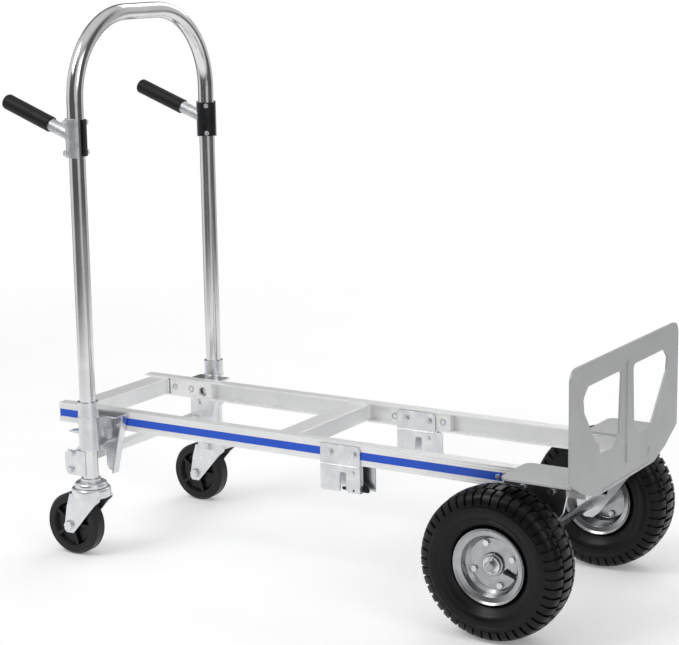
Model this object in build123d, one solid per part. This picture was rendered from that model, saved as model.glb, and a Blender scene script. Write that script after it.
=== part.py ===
from build123d import *
from math import cos, hypot, pi, radians, sin
import os

# Convertible aluminium hand truck, standing as a four-wheeled platform cart.
#
# Frame of the part: X runs along the side rails with +X at the nose plate, Y runs across, +Z is up.
# The origin is on the floor, under the middle of the whole truck. Places along X are counted from
# the main axle while the pieces are shaped, and ORIGIN_X moves them all when they are written.
# "Right" is the -Y side and "left" the +Y side, as seen by a person who pushes from the handle.

# ---- driving dimensions, millimetres -------------------------------------------------------------

WHEEL_DIAMETER = 260.0
WHEEL_WIDTH = 88.0
WHEEL_TRACK = 432.0
AXLE_DIAMETER = 16.0
AXLE_SHEET = 5.0

RIM_SHEET = 2.2
DISC_Y = -12.0
HUB_DIAMETER = 38.0
HUB_IN = 30.0
HUB_OUT = -18.0
BEARING_DIAMETER = 30.0
VALVE_DIAMETER = 5.0
VALVE_Y = -17.2
VALVE_TURN = 22.0

RAIL_LENGTH = 1102.0
RAIL_TOP = 272.0
RAIL_HEIGHT = 37.0
RAIL_DEPTH = 22.0
RAIL_WALL = 3.0
FRAME_WIDTH = 294.0

CROSS_WIDTH = 44.0
CROSS_WALL = 2.5

STRIPE_HEIGHT = 14.5
STRIPE_DEPTH = 1.8
STRIPE_RISE = 10.5
STRIPE_SCREW_X = -33.0

END_INSERT_LENGTH = 102.0
MID_INSERT_BEFORE = 14.0
MID_INSERT_AFTER = 31.0

NOSE_X = 130.0
NOSE_WIDTH = 450.0
NOSE_TOP = 467.0
NOSE_SHEET = 4.0
NOSE_RIB = 2.0
WING_LENGTH = 124.0

TUBE_DIAMETER = 30.0
TUBE_WALL = 2.0
LEG_INSET = 117.0
LEG_SPREAD = 405.0
LOOP_CORNER = 155.0
HANDLE_TOP = 1025.0

SLEEVE_WALL = 4.0
SLEEVE_LENGTH = 92.0
PIVOT_Z = 250.0
PIVOT_DIAMETER = 10.0
ARM_SHEET = 3.0
PIVOT_NUT = 16.0

BRACE_DEPTH = 28.0
BRACE_HEIGHT = 11.0

SLIDE_TRAVEL = 433.5
LATCH_LENGTH = 81.0
LATCH_BOTTOM = 184.0
LATCH_PIN_DIAMETER = 6.0

GRIP_Z = 790.0
GRIP_ANGLE = 21.0
GRIP_DIAMETER = 29.0
GRIP_START = 62.0
GRIP_LENGTH = 112.0
GRIP_ROUND = 6.0
GRIP_POST_DIAMETER = 25.0
GRIP_CLAMP_HEIGHT = 70.0
CLAMP_WALL = 4.5
CLAMP_TURN = -35.0

CASTER_DIAMETER = 118.0
CASTER_WIDTH = 32.0
CASTER_TRAIL = 39.0
CASTER_HEAD_DIAMETER = 74.0
FORK_SHEET = 3.0
KINGPIN = 12.0

# ---- named clearances and fits -------------------------------------------------------------------

SLIDE_GAP = 0.35
TURN_GAP = 0.6
BEARING_GAP = 0.05
BOLT_GAP = 0.2
NOTCH_GAP = 1.0
SIDE_GAP = 1.0

# ---- places worked out from the dimensions above -------------------------------------------------

WHEEL_RADIUS = WHEEL_DIAMETER / 2
AXLE_Z = WHEEL_RADIUS
WHEEL_Y = WHEEL_TRACK / 2
RIM_RADIUS = WHEEL_RADIUS * 0.5077
RIM_BOLT_RING = RIM_RADIUS - 29
RAIL_END = NOSE_X - 4
RAIL_START = RAIL_END - RAIL_LENGTH
END_CROSS_X = RAIL_START + 37
MID_CROSS_X = RAIL_START + RAIL_LENGTH * 0.462
RAIL_BOTTOM = RAIL_TOP - RAIL_HEIGHT
RAIL_MID_Z = RAIL_TOP - RAIL_HEIGHT / 2
RAIL_OUT = FRAME_WIDTH / 2
RAIL_IN = RAIL_OUT - RAIL_DEPTH
WING_INNER = RAIL_OUT - 29
CROSS_HEIGHT = RAIL_HEIGHT - 2 * RAIL_WALL
TOE_CROSS_X = RAIL_END - CROSS_WIDTH / 2
LEG_X = RAIL_START + LEG_INSET
LEG_Y = LEG_SPREAD / 2
RACE_LOW = CASTER_DIAMETER
LEG_FOOT = RACE_LOW + 34
SLEEVE_DIAMETER = TUBE_DIAMETER + 2 * SLEEVE_WALL
SLEEVE_LOW = LEG_FOOT + 55
PIVOT_X = LEG_X + 26
BRACE_X = LEG_X - 19
BRACE_Z = LEG_FOOT + 34
TUBE_RADIUS = TUBE_DIAMETER / 2
LOOP_FLAT = LEG_Y - LOOP_CORNER
LOOP_START_Z = HANDLE_TOP - TUBE_RADIUS - LOOP_CORNER
SLEEVE_TOP = SLEEVE_LOW + SLEEVE_LENGTH
CASTER_RADIUS = CASTER_DIAMETER / 2
CASTER_X = LEG_X - CASTER_TRAIL
ARM_OUT = RAIL_OUT + SIDE_GAP + ARM_SHEET
ARM_TOP = RAIL_TOP - 2
ARM_FRONT = PIVOT_X + 25
BRACE_BACK = BRACE_X - BRACE_DEPTH / 2
BRACE_FRONT = BRACE_X + BRACE_DEPTH / 2
BRACE_TOP = BRACE_Z + BRACE_HEIGHT / 2
TILTED_LEG_Z = PIVOT_Z + LEG_X - PIVOT_X
TILTED_BRACE_Z = PIVOT_Z + BRACE_X - PIVOT_X
LATCH_NOTCH_X = PIVOT_X + PIVOT_Z - BRACE_Z + SLIDE_TRAVEL
LATCH_X = LATCH_NOTCH_X - 5.5
LATCH_START = LATCH_X - LATCH_LENGTH / 2
LATCH_STOP = LATCH_X + LATCH_LENGTH / 2
LATCH_PIN_X = LATCH_NOTCH_X + 19
LATCH_PIN_Z = LATCH_BOTTOM + 35
WEB_IN = RAIL_OUT - STRIPE_DEPTH - RAIL_WALL
END_INSERT = (RAIL_START + 63, END_INSERT_LENGTH)
MID_INSERT = (LATCH_START - MID_INSERT_BEFORE, LATCH_LENGTH + MID_INSERT_BEFORE + MID_INSERT_AFTER)
AXLE_REACH = WHEEL_Y + 32
SPACER_OUT = LEG_Y - SLEEVE_DIAMETER / 2 + 1.5
CLAMP_WIDTH = TUBE_DIAMETER + 2 * CLAMP_WALL
BRACKET_TOP = SLEEVE_LOW - 1.0
FORK_IN = CASTER_WIDTH / 2 + 2.5

GRIP_TIP_X = LEG_X - (GRIP_START + GRIP_LENGTH - GRIP_ROUND) * cos(radians(GRIP_ANGLE))
GRIP_TIP_X -= (GRIP_DIAMETER / 2 - GRIP_ROUND) * sin(radians(GRIP_ANGLE)) + GRIP_ROUND
ORIGIN_X = (NOSE_X + NOSE_SHEET + NOSE_RIB + GRIP_TIP_X) / 2


# ---- small helpers -------------------------------------------------------------------------------

def side_plate(points, y_low, thickness, radius=0.0):
    """Flat plate that stands along the truck: (x, z) outline, from y_low towards +Y."""
    face = make_face(Polyline(*points, close=True))
    if radius:
        face = fillet(face.vertices(), radius)
    return Pos(0, y_low, 0) * extrude(Plane.XZ * face, amount=-thickness)


def cross_plate(points, x_low, thickness, radius=0.0):
    """Flat plate that stands across the truck: (y, z) outline, from x_low towards +X."""
    face = make_face(Polyline(*points, close=True))
    if radius:
        face = fillet(face.vertices(), radius)
    return Pos(x_low, 0, 0) * extrude(Plane.YZ * face, amount=thickness)


def block(x, y, z):
    """Box between two limits on each axis."""
    size = (x[1] - x[0], y[1] - y[0], z[1] - z[0])
    return Pos((x[0] + x[1]) / 2, (y[0] + y[1]) / 2, (z[0] + z[1]) / 2) * Box(*size)


def rod_y(x, z, y_low, y_high, diameter):
    """Round bar that lies across the truck."""
    bar = Rot(90, 0, 0) * Cylinder(diameter / 2, y_high - y_low)
    return Pos(x, (y_low + y_high) / 2, z) * bar


def rod_x(y, z, x_low, x_high, diameter):
    """Round bar that lies along the truck."""
    bar = Rot(0, 90, 0) * Cylinder(diameter / 2, x_high - x_low)
    return Pos((x_low + x_high) / 2, y, z) * bar


def rod_z(x, y, z_low, z_high, diameter):
    """Upright round bar."""
    return Pos(x, y, (z_low + z_high) / 2) * Cylinder(diameter / 2, z_high - z_low)


def hexagon_y(x, z, y_low, y_high, across_flats):
    """Hexagon bolt head or nut whose axis lies across the truck."""
    face = Plane.XZ * RegularPolygon(across_flats / 2, 6, major_radius=False)
    return Pos(x, y_low, z) * extrude(face, amount=y_low - y_high)


def ribbon(path, thickness):
    """Closed outline of a sheet of even thickness whose middle follows the path."""
    upper = []
    lower = []
    for i, (a, b) in enumerate(path):
        before = path[max(i - 1, 0)]
        after = path[min(i + 1, len(path) - 1)]
        into = (a - before[0], b - before[1]) if i else (after[0] - a, after[1] - b)
        out = (after[0] - a, after[1] - b) if i < len(path) - 1 else into
        into = (into[0] / hypot(*into), into[1] / hypot(*into))
        out = (out[0] / hypot(*out), out[1] / hypot(*out))
        normal = (-into[1] - out[1], into[0] + out[0])
        stretch = thickness / (normal[0] ** 2 + normal[1] ** 2)
        upper.append((a + normal[0] * stretch, b + normal[1] * stretch))
        lower.append((a - normal[0] * stretch, b - normal[1] * stretch))
    return upper + lower[::-1]


def turned(outline):
    """Ring about the Y axis, from an (r, y) outline."""
    return revolve(Plane.XY * make_face(Polyline(*outline, close=True)), Axis.Y, 360)


def across(shape):
    """The same shape on the other side of the truck."""
    return mirror(shape, about=Plane.XZ)


def both(shape):
    """A shape and its mirror image, as separate solids."""
    return [shape, across(shape)]


def write(name, *shapes):
    """Write one sub-part, one or more separate solids, to its own file."""
    solids = []
    for shape in shapes:
        for item in shape if isinstance(shape, list) else [shape]:
            solids += list((Pos(-ORIGIN_X, 0, 0) * item).solids())
    whole = solids[0] if len(solids) == 1 else Compound(children=solids)
    whole.label = name
    export_step(whole, f"parts/{name}.step")
    print(name, len(solids), round(sum(s.volume for s in solids) / 1000, 1), "cm3")


# ---- platform frame ------------------------------------------------------------------------------

def insert_screws_x(start, length):
    """Places of the two screws of one nylon insert."""
    if start < PIVOT_X:
        return [start + 12, start + 52]
    return [start + 7, start + length - 16]


def right_rail():
    """Channel rail, open inward, with a stripe groove and stepped ridges on its outer face."""
    outer, inner = -RAIL_OUT, -RAIL_IN
    web = STRIPE_DEPTH + RAIL_WALL
    bar = block((RAIL_START, RAIL_END), (outer, inner), (RAIL_BOTTOM, RAIL_TOP))
    hollow = (RAIL_BOTTOM + RAIL_WALL, RAIL_TOP - RAIL_WALL)
    bar -= block((RAIL_START - 1, RAIL_END + 1), (outer + web, inner + 1), hollow)
    groove = (RAIL_BOTTOM + STRIPE_RISE, RAIL_BOTTOM + STRIPE_RISE + STRIPE_HEIGHT)
    bar -= block((RAIL_START - 1, RAIL_END + 1), (outer - 1, outer + STRIPE_DEPTH), groove)
    for low, high in ((3.2, 5.0), (7.2, 8.2), (27.6, 28.8), (31.6, 33.4)):
        ridge = (RAIL_BOTTOM + low, RAIL_BOTTOM + high)
        bar -= block((RAIL_START - 1, RAIL_END + 1), (outer - 1, outer + 0.7), ridge)
    for step in (4.5, 13.5):
        cut = (outer + step, outer + step + 1.2)
        bar -= block((RAIL_START - 1, RAIL_END + 1), cut, (RAIL_TOP - 0.6, RAIL_TOP + 1))
    holes = [(x, 6.0 + BOLT_GAP) for x in latch_bolts_x() + axle_bracket_bolts_x()]
    holes += [(PIVOT_X, PIVOT_DIAMETER), (STRIPE_SCREW_X, 4.0)]
    for x, diameter in holes:
        bar -= rod_y(x, bolt_height(x), outer - 1, outer + web + 1, diameter)
    for x in wing_bolts_x():
        bar -= rod_z(x, outer + 13, RAIL_TOP - RAIL_WALL - 1, RAIL_TOP + 1, 6 + BOLT_GAP)
    return bar


def stripe():
    """Coloured trim strip that lies in the groove of the right rail."""
    low = RAIL_BOTTOM + STRIPE_RISE + 0.1
    high = RAIL_BOTTOM + STRIPE_RISE + STRIPE_HEIGHT - 0.1
    y = (-RAIL_OUT + 0.4, -RAIL_OUT + STRIPE_DEPTH)
    strip = block((RAIL_START + 2, STRIPE_SCREW_X + 7), y, (low, high))
    for x in latch_bolts_x() + [PIVOT_X]:
        strip -= rod_y(x, bolt_height(x), y[0] - 1, y[1] + 1, PIVOT_DIAMETER + 2)
    return strip - rod_y(STRIPE_SCREW_X, bolt_height(STRIPE_SCREW_X), y[0] - 1, y[1] + 1, 4)


def stripe_screw():
    """Small screw through the end of the stripe and the rail's web."""
    z = bolt_height(STRIPE_SCREW_X)
    screw = rod_y(STRIPE_SCREW_X, z, -RAIL_OUT + 0.4, -WEB_IN + 3, 4)
    return screw + rod_y(STRIPE_SCREW_X, z, -RAIL_OUT - 2.2, -RAIL_OUT + 0.4, 9)


def crossmember(middle_x):
    """Rectangular tube between the two channel rails."""
    x = (middle_x - CROSS_WIDTH / 2, middle_x + CROSS_WIDTH / 2)
    z = (RAIL_BOTTOM + RAIL_WALL, RAIL_TOP - RAIL_WALL)
    y = (-WEB_IN, WEB_IN)
    tube = fillet(block(x, y, z).edges().filter_by(Axis.Y), 2)
    inside_x = (x[0] + CROSS_WALL, x[1] - CROSS_WALL)
    inside_z = (z[0] + CROSS_WALL, z[1] - CROSS_WALL)
    return tube - block(inside_x, (y[0] - 1, y[1] + 1), inside_z)


def insert(start, length):
    """Nylon block that stiffens the open side of the right rail, with recessed bolt seats."""
    y = (-WEB_IN, -RAIL_IN - 0.5)
    z = (RAIL_BOTTOM + RAIL_WALL + 0.1, RAIL_TOP - RAIL_WALL - 0.1)
    piece = block((start, start + length), y, z)
    piece -= block((start + 20, start + length - 30), (y[0] - 1, y[1] - 6), (z[0] + 6, z[1] - 6))
    for x in insert_screws_x(start, length):
        piece -= rod_y(x, RAIL_MID_Z, y[0] - 1, y[1] + 1, 5.4)
        piece -= rod_y(x, RAIL_MID_Z, y[1] - 3, y[1] + 1, 13)
    if start < PIVOT_X:
        return piece - rod_y(PIVOT_X, PIVOT_Z, y[0] - 1, y[1] + 1, PIVOT_NUT / cos(pi / 6) + 1)
    for x in latch_bolts_x():
        piece -= rod_y(x, bolt_height(x), y[0] - 1, y[1] + 1, 7)
    return piece


def insert_screws(start, length):
    """Pan head screws of one insert."""
    screws = []
    for x in insert_screws_x(start, length):
        screw = rod_y(x, RAIL_MID_Z, -WEB_IN + 0.1, -RAIL_IN - 3.5, 5)
        screw += rod_y(x, RAIL_MID_Z, -RAIL_IN - 3.5, -RAIL_IN - 0.8, 9)
        screws.append(screw)
    return screws


# ---- latch brackets that hold the handle brace in hand truck mode --------------------------------

def latch_bolts_x():
    """Places of the two bolts through the rail at each latch bracket."""
    return [LATCH_X - 21, LATCH_X + 27]


def axle_bracket_bolts_x():
    """Places of the bolts that hold each axle bracket on its rail."""
    return [15.0, 68.0]


def bolt_height(x):
    """Height of the bolt line in the rail at a given place along it."""
    if x == PIVOT_X:
        return PIVOT_Z
    if x in axle_bracket_bolts_x():
        return RAIL_BOTTOM + 8
    return RAIL_BOTTOM + STRIPE_RISE + STRIPE_HEIGHT / 2


def latch_outline(low, extra):
    """Side outline of a latch plate, with the brace notch open at its lower edge."""
    notch = BRACE_HEIGHT / 2 + NOTCH_GAP
    roof = TILTED_BRACE_Z + BRACE_DEPTH / 2 + NOTCH_GAP
    return [
        (LATCH_START, RAIL_TOP - 4), (LATCH_START, low + 3), (LATCH_START + 3, low),
        (LATCH_NOTCH_X - notch, low), (LATCH_NOTCH_X - notch, roof - 2),
        (LATCH_NOTCH_X - notch + 2, roof), (LATCH_NOTCH_X + notch - 2, roof),
        (LATCH_NOTCH_X + notch, roof - 2), (LATCH_NOTCH_X + notch, low + 4),
        (LATCH_NOTCH_X + notch + 4, low), (LATCH_STOP + extra, low),
        (LATCH_STOP + extra, RAIL_BOTTOM - 4), (LATCH_STOP, RAIL_BOTTOM - 1),
        (LATCH_STOP, RAIL_TOP - 8), (LATCH_STOP - 4, RAIL_TOP - 4),
    ]


def latch_plate(y_low, extra):
    """One folded sheet of a latch bracket: it lies on the rail and hangs below it."""
    plate = side_plate(latch_outline(LATCH_BOTTOM, extra), y_low, ARM_SHEET)
    for x in latch_bolts_x():
        plate -= rod_y(x, bolt_height(x), y_low - 1, y_low + ARM_SHEET + 1, 6.0 + BOLT_GAP)
    plate -= rod_y(LATCH_PIN_X, LATCH_PIN_Z, y_low - 1, y_low + ARM_SHEET + 1, LATCH_PIN_DIAMETER)
    plate -= rod_y(LATCH_PIN_X + 3, LATCH_BOTTOM + 5, y_low - 1, y_low + ARM_SHEET + 1, 5)
    return plate


def latch_outer_plate():
    """Outer sheet with a stiffening fold just below the rail and a flange at its +X end."""
    y_low = -RAIL_OUT - ARM_SHEET
    plate = latch_plate(y_low, 0)
    fold = rod_x(y_low, RAIL_BOTTOM - 4, LATCH_START + 1, LATCH_STOP - 1, 3)
    flange = (LATCH_BOTTOM, RAIL_BOTTOM - 3)
    plate += block((LATCH_STOP - ARM_SHEET, LATCH_STOP), (y_low, -RAIL_OUT + 8), flange)
    return plate + fold


def latch_inner_plate():
    """Inner sheet, a little longer than the outer one, with a roof under the rail."""
    y_low = -RAIL_IN
    plate = latch_plate(y_low, 16)
    roof = (RAIL_BOTTOM - ARM_SHEET, RAIL_BOTTOM)
    plate += block((LATCH_START, LATCH_STOP), (-RAIL_OUT, -RAIL_IN + 1), roof)
    return plate + rod_x(y_low + ARM_SHEET, RAIL_BOTTOM - 4, LATCH_START + 1, LATCH_STOP - 1, 3)


def latch_hook():
    """Spring hook that closes the notch below the brace; it turns on the latch pin."""
    y_mid = -(RAIL_OUT + RAIL_IN) / 2
    low = LATCH_BOTTOM + 0.5
    nose_top = TILTED_BRACE_Z - BRACE_DEPTH / 2 - NOTCH_GAP
    outline = [
        (LATCH_PIN_X - 6, LATCH_PIN_Z + 5), (LATCH_PIN_X + 6, LATCH_PIN_Z + 5),
        (LATCH_PIN_X + 8, LATCH_PIN_Z - 14), (LATCH_PIN_X + 26, low + 6),
        (LATCH_PIN_X + 26, low), (LATCH_NOTCH_X - 8, low), (LATCH_NOTCH_X - 10, nose_top - 1),
        (LATCH_NOTCH_X + 8, nose_top), (LATCH_NOTCH_X + 11, nose_top + 6),
    ]
    hook = side_plate(outline, y_mid - 2, 4, 1.2)
    hook += rod_y(LATCH_PIN_X, LATCH_PIN_Z, y_mid - 6, y_mid + 3, 12)
    return hook - rod_y(LATCH_PIN_X, LATCH_PIN_Z, y_mid - 8, y_mid + 8, LATCH_PIN_DIAMETER + 2 * TURN_GAP)


def latch_pin():
    """Pin through both latch plates, with a head outside and a riveted end inside."""
    pin = rod_y(LATCH_PIN_X, LATCH_PIN_Z, -RAIL_OUT - ARM_SHEET, -RAIL_IN + ARM_SHEET, LATCH_PIN_DIAMETER)
    pin += rod_y(LATCH_PIN_X, LATCH_PIN_Z, -RAIL_OUT - ARM_SHEET - 2, -RAIL_OUT - ARM_SHEET, 9)
    return pin + rod_y(LATCH_PIN_X, LATCH_PIN_Z, -RAIL_IN + ARM_SHEET, -RAIL_IN + ARM_SHEET + 2, 9)


def latch_spring():
    """Torsion spring on the latch pin, between the hook and the inner plate."""
    wire = 1.4
    pitch = 1.7
    turns = 3
    path = Helix(pitch=pitch, height=pitch * turns, radius=5.4)
    section = Plane(origin=path @ 0, z_dir=path % 0) * Circle(wire / 2)
    coil = sweep(section, path=path, is_frenet=True)
    y_start = -(RAIL_OUT + RAIL_IN) / 2 + 3 + wire
    return Pos(LATCH_PIN_X, y_start, LATCH_PIN_Z) * (Rot(-90, 0, 0) * coil)


def latch_bolt(x):
    """Bolt through the rail and both latch plates, with a hexagon head and a nut."""
    z = bolt_height(x)
    outside = -RAIL_OUT - ARM_SHEET
    inside = -RAIL_IN + ARM_SHEET
    bolt = rod_y(x, z, outside, inside, 6)
    bolt += rod_y(x, z, outside - 1.2, outside, 13)
    bolt += hexagon_y(x, z, outside - 5.2, outside - 1.2, 10)
    bolt += rod_y(x, z, inside, inside + 7, 6)
    return bolt + hexagon_y(x, z, inside, inside + 5, 10)


# ---- nose plate ----------------------------------------------------------------------------------

def nose_window():
    """Window outline in the right half of the nose plate, as (y, z) points."""
    return [
        (-24, NOSE_TOP - 39), (-160, NOSE_TOP - 39), (-178, NOSE_TOP - 56), (-174, NOSE_TOP - 80),
        (-106, NOSE_TOP - 164), (-52, NOSE_TOP - 165), (-31, NOSE_TOP - 150),
    ]


def nose_plate():
    """Pressed sheet: upright plate with two windows, and two wings that lie on the rails."""
    half = NOSE_WIDTH / 2
    fold = RAIL_TOP + NOSE_SHEET
    low = RAIL_BOTTOM
    edge = [
        (0, NOSE_TOP), (-half, NOSE_TOP), (-half, fold + 4), (-half + 10, fold - 1),
        (-172, fold - 24), (-120, low), (0, low),
    ]
    right = make_face(Polyline(*edge, close=True))
    corner = right.vertices().sort_by(Axis.Y)[-2:].sort_by(Axis.X)[0]
    right = fillet(corner, 22)
    window = make_face(Polyline(*nose_window(), close=True))
    right -= fillet(window.vertices(), 9)
    plate = extrude(Plane.YZ * right, amount=NOSE_SHEET)
    rib = [(-3, low + 30), (-3, NOSE_TOP - 30), (0, NOSE_TOP - 30), (0, low + 30)]
    plate += cross_plate(rib, NOSE_SHEET, NOSE_RIB)
    plate += mirror(plate, about=Plane.XZ)
    plate = Pos(NOSE_X, 0, 0) * plate
    for side in (-1, 1):
        y = sorted((side * WING_INNER, side * (half - 2)))
        wing = block((NOSE_X - WING_LENGTH, NOSE_X + 1), y, (RAIL_TOP, RAIL_TOP + NOSE_SHEET))
        corners = wing.edges().filter_by(Axis.Z).sort_by(Axis.X)[:2]
        plate += fillet(corners, 14)
    for x in wing_bolts_x():
        for side in (-1, 1):
            plate -= rod_z(x, side * (RAIL_OUT - 13), RAIL_TOP - 1, RAIL_TOP + 10, 6 + BOLT_GAP)
    return plate


def wing_bolts_x():
    """Places of the screws that hold each wing on its rail."""
    return [NOSE_X - WING_LENGTH + 20, NOSE_X - 62]


def wing_screw(x):
    """Screw from inside the rail up into a wing, with its end flush in the sheet."""
    y = -RAIL_OUT + 13
    screw = rod_z(x, y, RAIL_TOP - RAIL_WALL, RAIL_TOP + NOSE_SHEET - 0.4, 6)
    return screw + rod_z(x, y, RAIL_TOP - RAIL_WALL - 4, RAIL_TOP - RAIL_WALL, 9)


# ---- main axle -----------------------------------------------------------------------------------

def axle_bracket():
    """Plate on the outer face of the right rail that carries the axle."""
    y_low = -RAIL_OUT - AXLE_SHEET
    top = RAIL_BOTTOM + 15
    outline = [
        (-20, top), (-24, RAIL_BOTTOM - 6), (-26, AXLE_Z + 20), (-20, AXLE_Z - 12),
        (-7, AXLE_Z - 22), (8, AXLE_Z - 22), (20, AXLE_Z - 12), (88, RAIL_BOTTOM - 27),
        (94, RAIL_BOTTOM), (94, top),
    ]
    plate = side_plate(outline, y_low, AXLE_SHEET, 4)
    plate -= rod_y(0, AXLE_Z, y_low - 1, -RAIL_OUT + 1, AXLE_DIAMETER)
    plate -= rod_y(30, AXLE_Z + 30, y_low - 1, -RAIL_OUT + 1, 14)
    plate -= rod_y(10, RAIL_BOTTOM - 39, y_low - 1, -RAIL_OUT + 1, 24)
    for x in axle_bracket_bolts_x():
        plate -= rod_y(x, bolt_height(x), y_low - 1, -RAIL_OUT + 1, 6 + BOLT_GAP)
    return plate


def axle_bracket_bolt(x):
    """Bolt through an axle bracket and the rail's web, with a nut inside the channel."""
    z = bolt_height(x)
    outside = -RAIL_OUT - AXLE_SHEET
    web = -WEB_IN
    bolt = rod_y(x, z, outside, web + 5, 6)
    bolt += hexagon_y(x, z, outside - 4, outside, 10)
    return bolt + hexagon_y(x, z, web, web + 4, 9)


def axle():
    """Straight axle through both brackets, drilled at each end for a cotter pin."""
    bar = rod_y(0, AXLE_Z, -AXLE_REACH, AXLE_REACH, AXLE_DIAMETER)
    bar = chamfer(bar.edges().filter_by(GeomType.CIRCLE), 1.2)
    for y in (-cotter_y(), cotter_y()):
        bar -= rod_z(0, y, 0, WHEEL_DIAMETER, 3.4)
    return bar


def cotter_y():
    """Distance of a cotter pin from the middle of the truck."""
    return AXLE_REACH - 6


def cotter_pin():
    """Cotter pin through the axle's right end, with an eye above and spread legs below."""
    y = -cotter_y()
    top = AXLE_Z + AXLE_DIAMETER / 2
    pin = rod_z(0, y, AXLE_Z - AXLE_DIAMETER / 2 - 6, top + 2, 3)
    eye = Pos(0, y, top + 4.5) * (Rot(90, 0, 0) * Torus(3, 1.2))
    leg = Pos(3.2, y, AXLE_Z - AXLE_DIAMETER / 2 - 4.6) * (Rot(0, 60, 0) * Cylinder(1.2, 8))
    return pin + eye + leg


def axle_spacer():
    """Tube on the axle between the bracket and the wheel."""
    low = -WHEEL_Y + HUB_IN + SIDE_GAP
    high = -RAIL_OUT - AXLE_SHEET
    ring = rod_y(0, AXLE_Z, low, high, 26)
    return ring - rod_y(0, AXLE_Z, low - 1, high + 1, AXLE_DIAMETER)


def axle_washer():
    """Washer between the hub and the cotter pin."""
    outer = -WHEEL_Y + HUB_OUT - SIDE_GAP
    ring = rod_y(0, AXLE_Z, outer - 3, outer, 30)
    return ring - rod_y(0, AXLE_Z, outer - 4, outer + 1, AXLE_DIAMETER)


# ---- pneumatic wheel, built about its own centre with the outer face at -Y -----------------------

def placed(shape):
    """Move a wheel piece from its own centre to the right end of the axle."""
    return Pos(0, -WHEEL_Y, AXLE_Z) * shape


def tyre():
    """Hollow tyre with rounded shoulders and shallow rings in its tread."""
    half = WHEEL_WIDTH / 2
    top = WHEEL_RADIUS
    bead = RIM_RADIUS - 11.2
    outside = [
        Line((bead, -26.5), (RIM_RADIUS + 2, -27.5)),
        ThreePointArc((RIM_RADIUS + 2, -27.5), (bead + 24, -half + 4), (bead + 39, -half)),
        ThreePointArc((bead + 39, -half), (top - 16, -half + 3.5), (top - 6, -half + 11)),
        ThreePointArc((top - 6, -half + 11), (top, 0), (top - 6, half - 11)),
        ThreePointArc((top - 6, half - 11), (top - 16, half - 3.5), (bead + 39, half)),
        ThreePointArc((bead + 39, half), (bead + 24, half - 4), (RIM_RADIUS + 2, 27.5)),
        Line((RIM_RADIUS + 2, 27.5), (bead, 26.5)),
    ]
    inside = [
        Line((bead, 26.5), (bead, 21)),
        Line((bead, 21), (RIM_RADIUS + 2, 21)),
        ThreePointArc((RIM_RADIUS + 2, 21), (bead + 24, half - 12), (bead + 39, half - 8)),
        ThreePointArc((bead + 39, half - 8), (top - 16, 0), (bead + 39, -half + 8)),
        ThreePointArc((bead + 39, -half + 8), (bead + 24, -half + 12), (RIM_RADIUS + 2, -21)),
        Line((RIM_RADIUS + 2, -21), (bead, -21)),
        Line((bead, -21), (bead, -26.5)),
    ]
    ring = revolve(Plane.XY * make_face(Wire(outside + inside)), Axis.Y, 360)
    for y in (-18, 0, 18):
        groove = turned([(top - 5, y - 2), (top + 2, y - 2), (top + 2, y + 2), (top - 5, y + 2)])
        ring -= groove
    return ring


def inner_tube():
    """Air tube inside the tyre, with its valve stem through the outer rim half."""
    girth = (WHEEL_RADIUS - RIM_RADIUS - 22) / 2
    middle = RIM_RADIUS + 2 + girth
    tube = Rot(90, 0, 0) * (Torus(middle, girth) - Torus(middle, girth - 2))
    stem_start = RIM_RADIUS - 40
    stem = rod_x(0, 0, stem_start, middle - 10, VALVE_DIAMETER)
    stem += rod_x(0, 0, stem_start - 3, stem_start + 4, VALVE_DIAMETER + 2)
    return tube + Rot(0, VALVE_TURN, 0) * (Pos(0, VALVE_Y, 0) * stem)


def outer_rim():
    """Outer rim half: pressed dish with a rolled flange, bolt holes and a valve slot."""
    path = [
        (RIM_RADIUS - 1, -33), (RIM_RADIUS - 5, -30), (RIM_RADIUS - 13, -28.2),
        (RIM_RADIUS - 16, -18), (RIM_RADIUS - 22, DISC_Y), (20, DISC_Y),
    ]
    dish = turned(ribbon(path, RIM_SHEET))
    for i in range(4):
        turn = radians(20 + 90 * i)
        x, z = RIM_BOLT_RING * cos(turn), RIM_BOLT_RING * sin(turn)
        dish -= rod_y(x, z, DISC_Y - 4, DISC_Y + 4, 6 + BOLT_GAP)
    hole = Pos(0, VALVE_Y, 0) * rod_x(0, 0, RIM_RADIUS - 26, RIM_RADIUS - 6, VALVE_DIAMETER + 3)
    return dish - Rot(0, VALVE_TURN, 0) * hole


def inner_rim():
    """Inner rim half with the hub tube welded in its middle."""
    disc = DISC_Y + RIM_SHEET + 0.1
    path = [
        (RIM_RADIUS - 1, 33), (RIM_RADIUS - 5, 30), (RIM_RADIUS - 13, 28.2),
        (RIM_RADIUS - 16, disc + 8), (RIM_RADIUS - 21, disc), (18, disc),
    ]
    dish = turned(ribbon(path, RIM_SHEET))
    for i in range(4):
        turn = radians(20 + 90 * i)
        x, z = RIM_BOLT_RING * cos(turn), RIM_BOLT_RING * sin(turn)
        dish -= rod_y(x, z, disc - 4, disc + 4, 6 + BOLT_GAP)
    hub = rod_y(0, 0, HUB_OUT, HUB_IN, HUB_DIAMETER)
    hub -= rod_y(0, 0, HUB_OUT - 1, HUB_IN + 1, BEARING_DIAMETER)
    return dish + hub


def wheel_bearings():
    """Two bearing rings in the ends of the hub."""
    bore = AXLE_DIAMETER + 2 * BEARING_GAP
    rings = []
    for low in (HUB_OUT, HUB_IN - 10):
        ring = rod_y(0, 0, low, low + 10, BEARING_DIAMETER)
        rings.append(ring - rod_y(0, 0, low - 1, low + 11, bore))
    return rings


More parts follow.
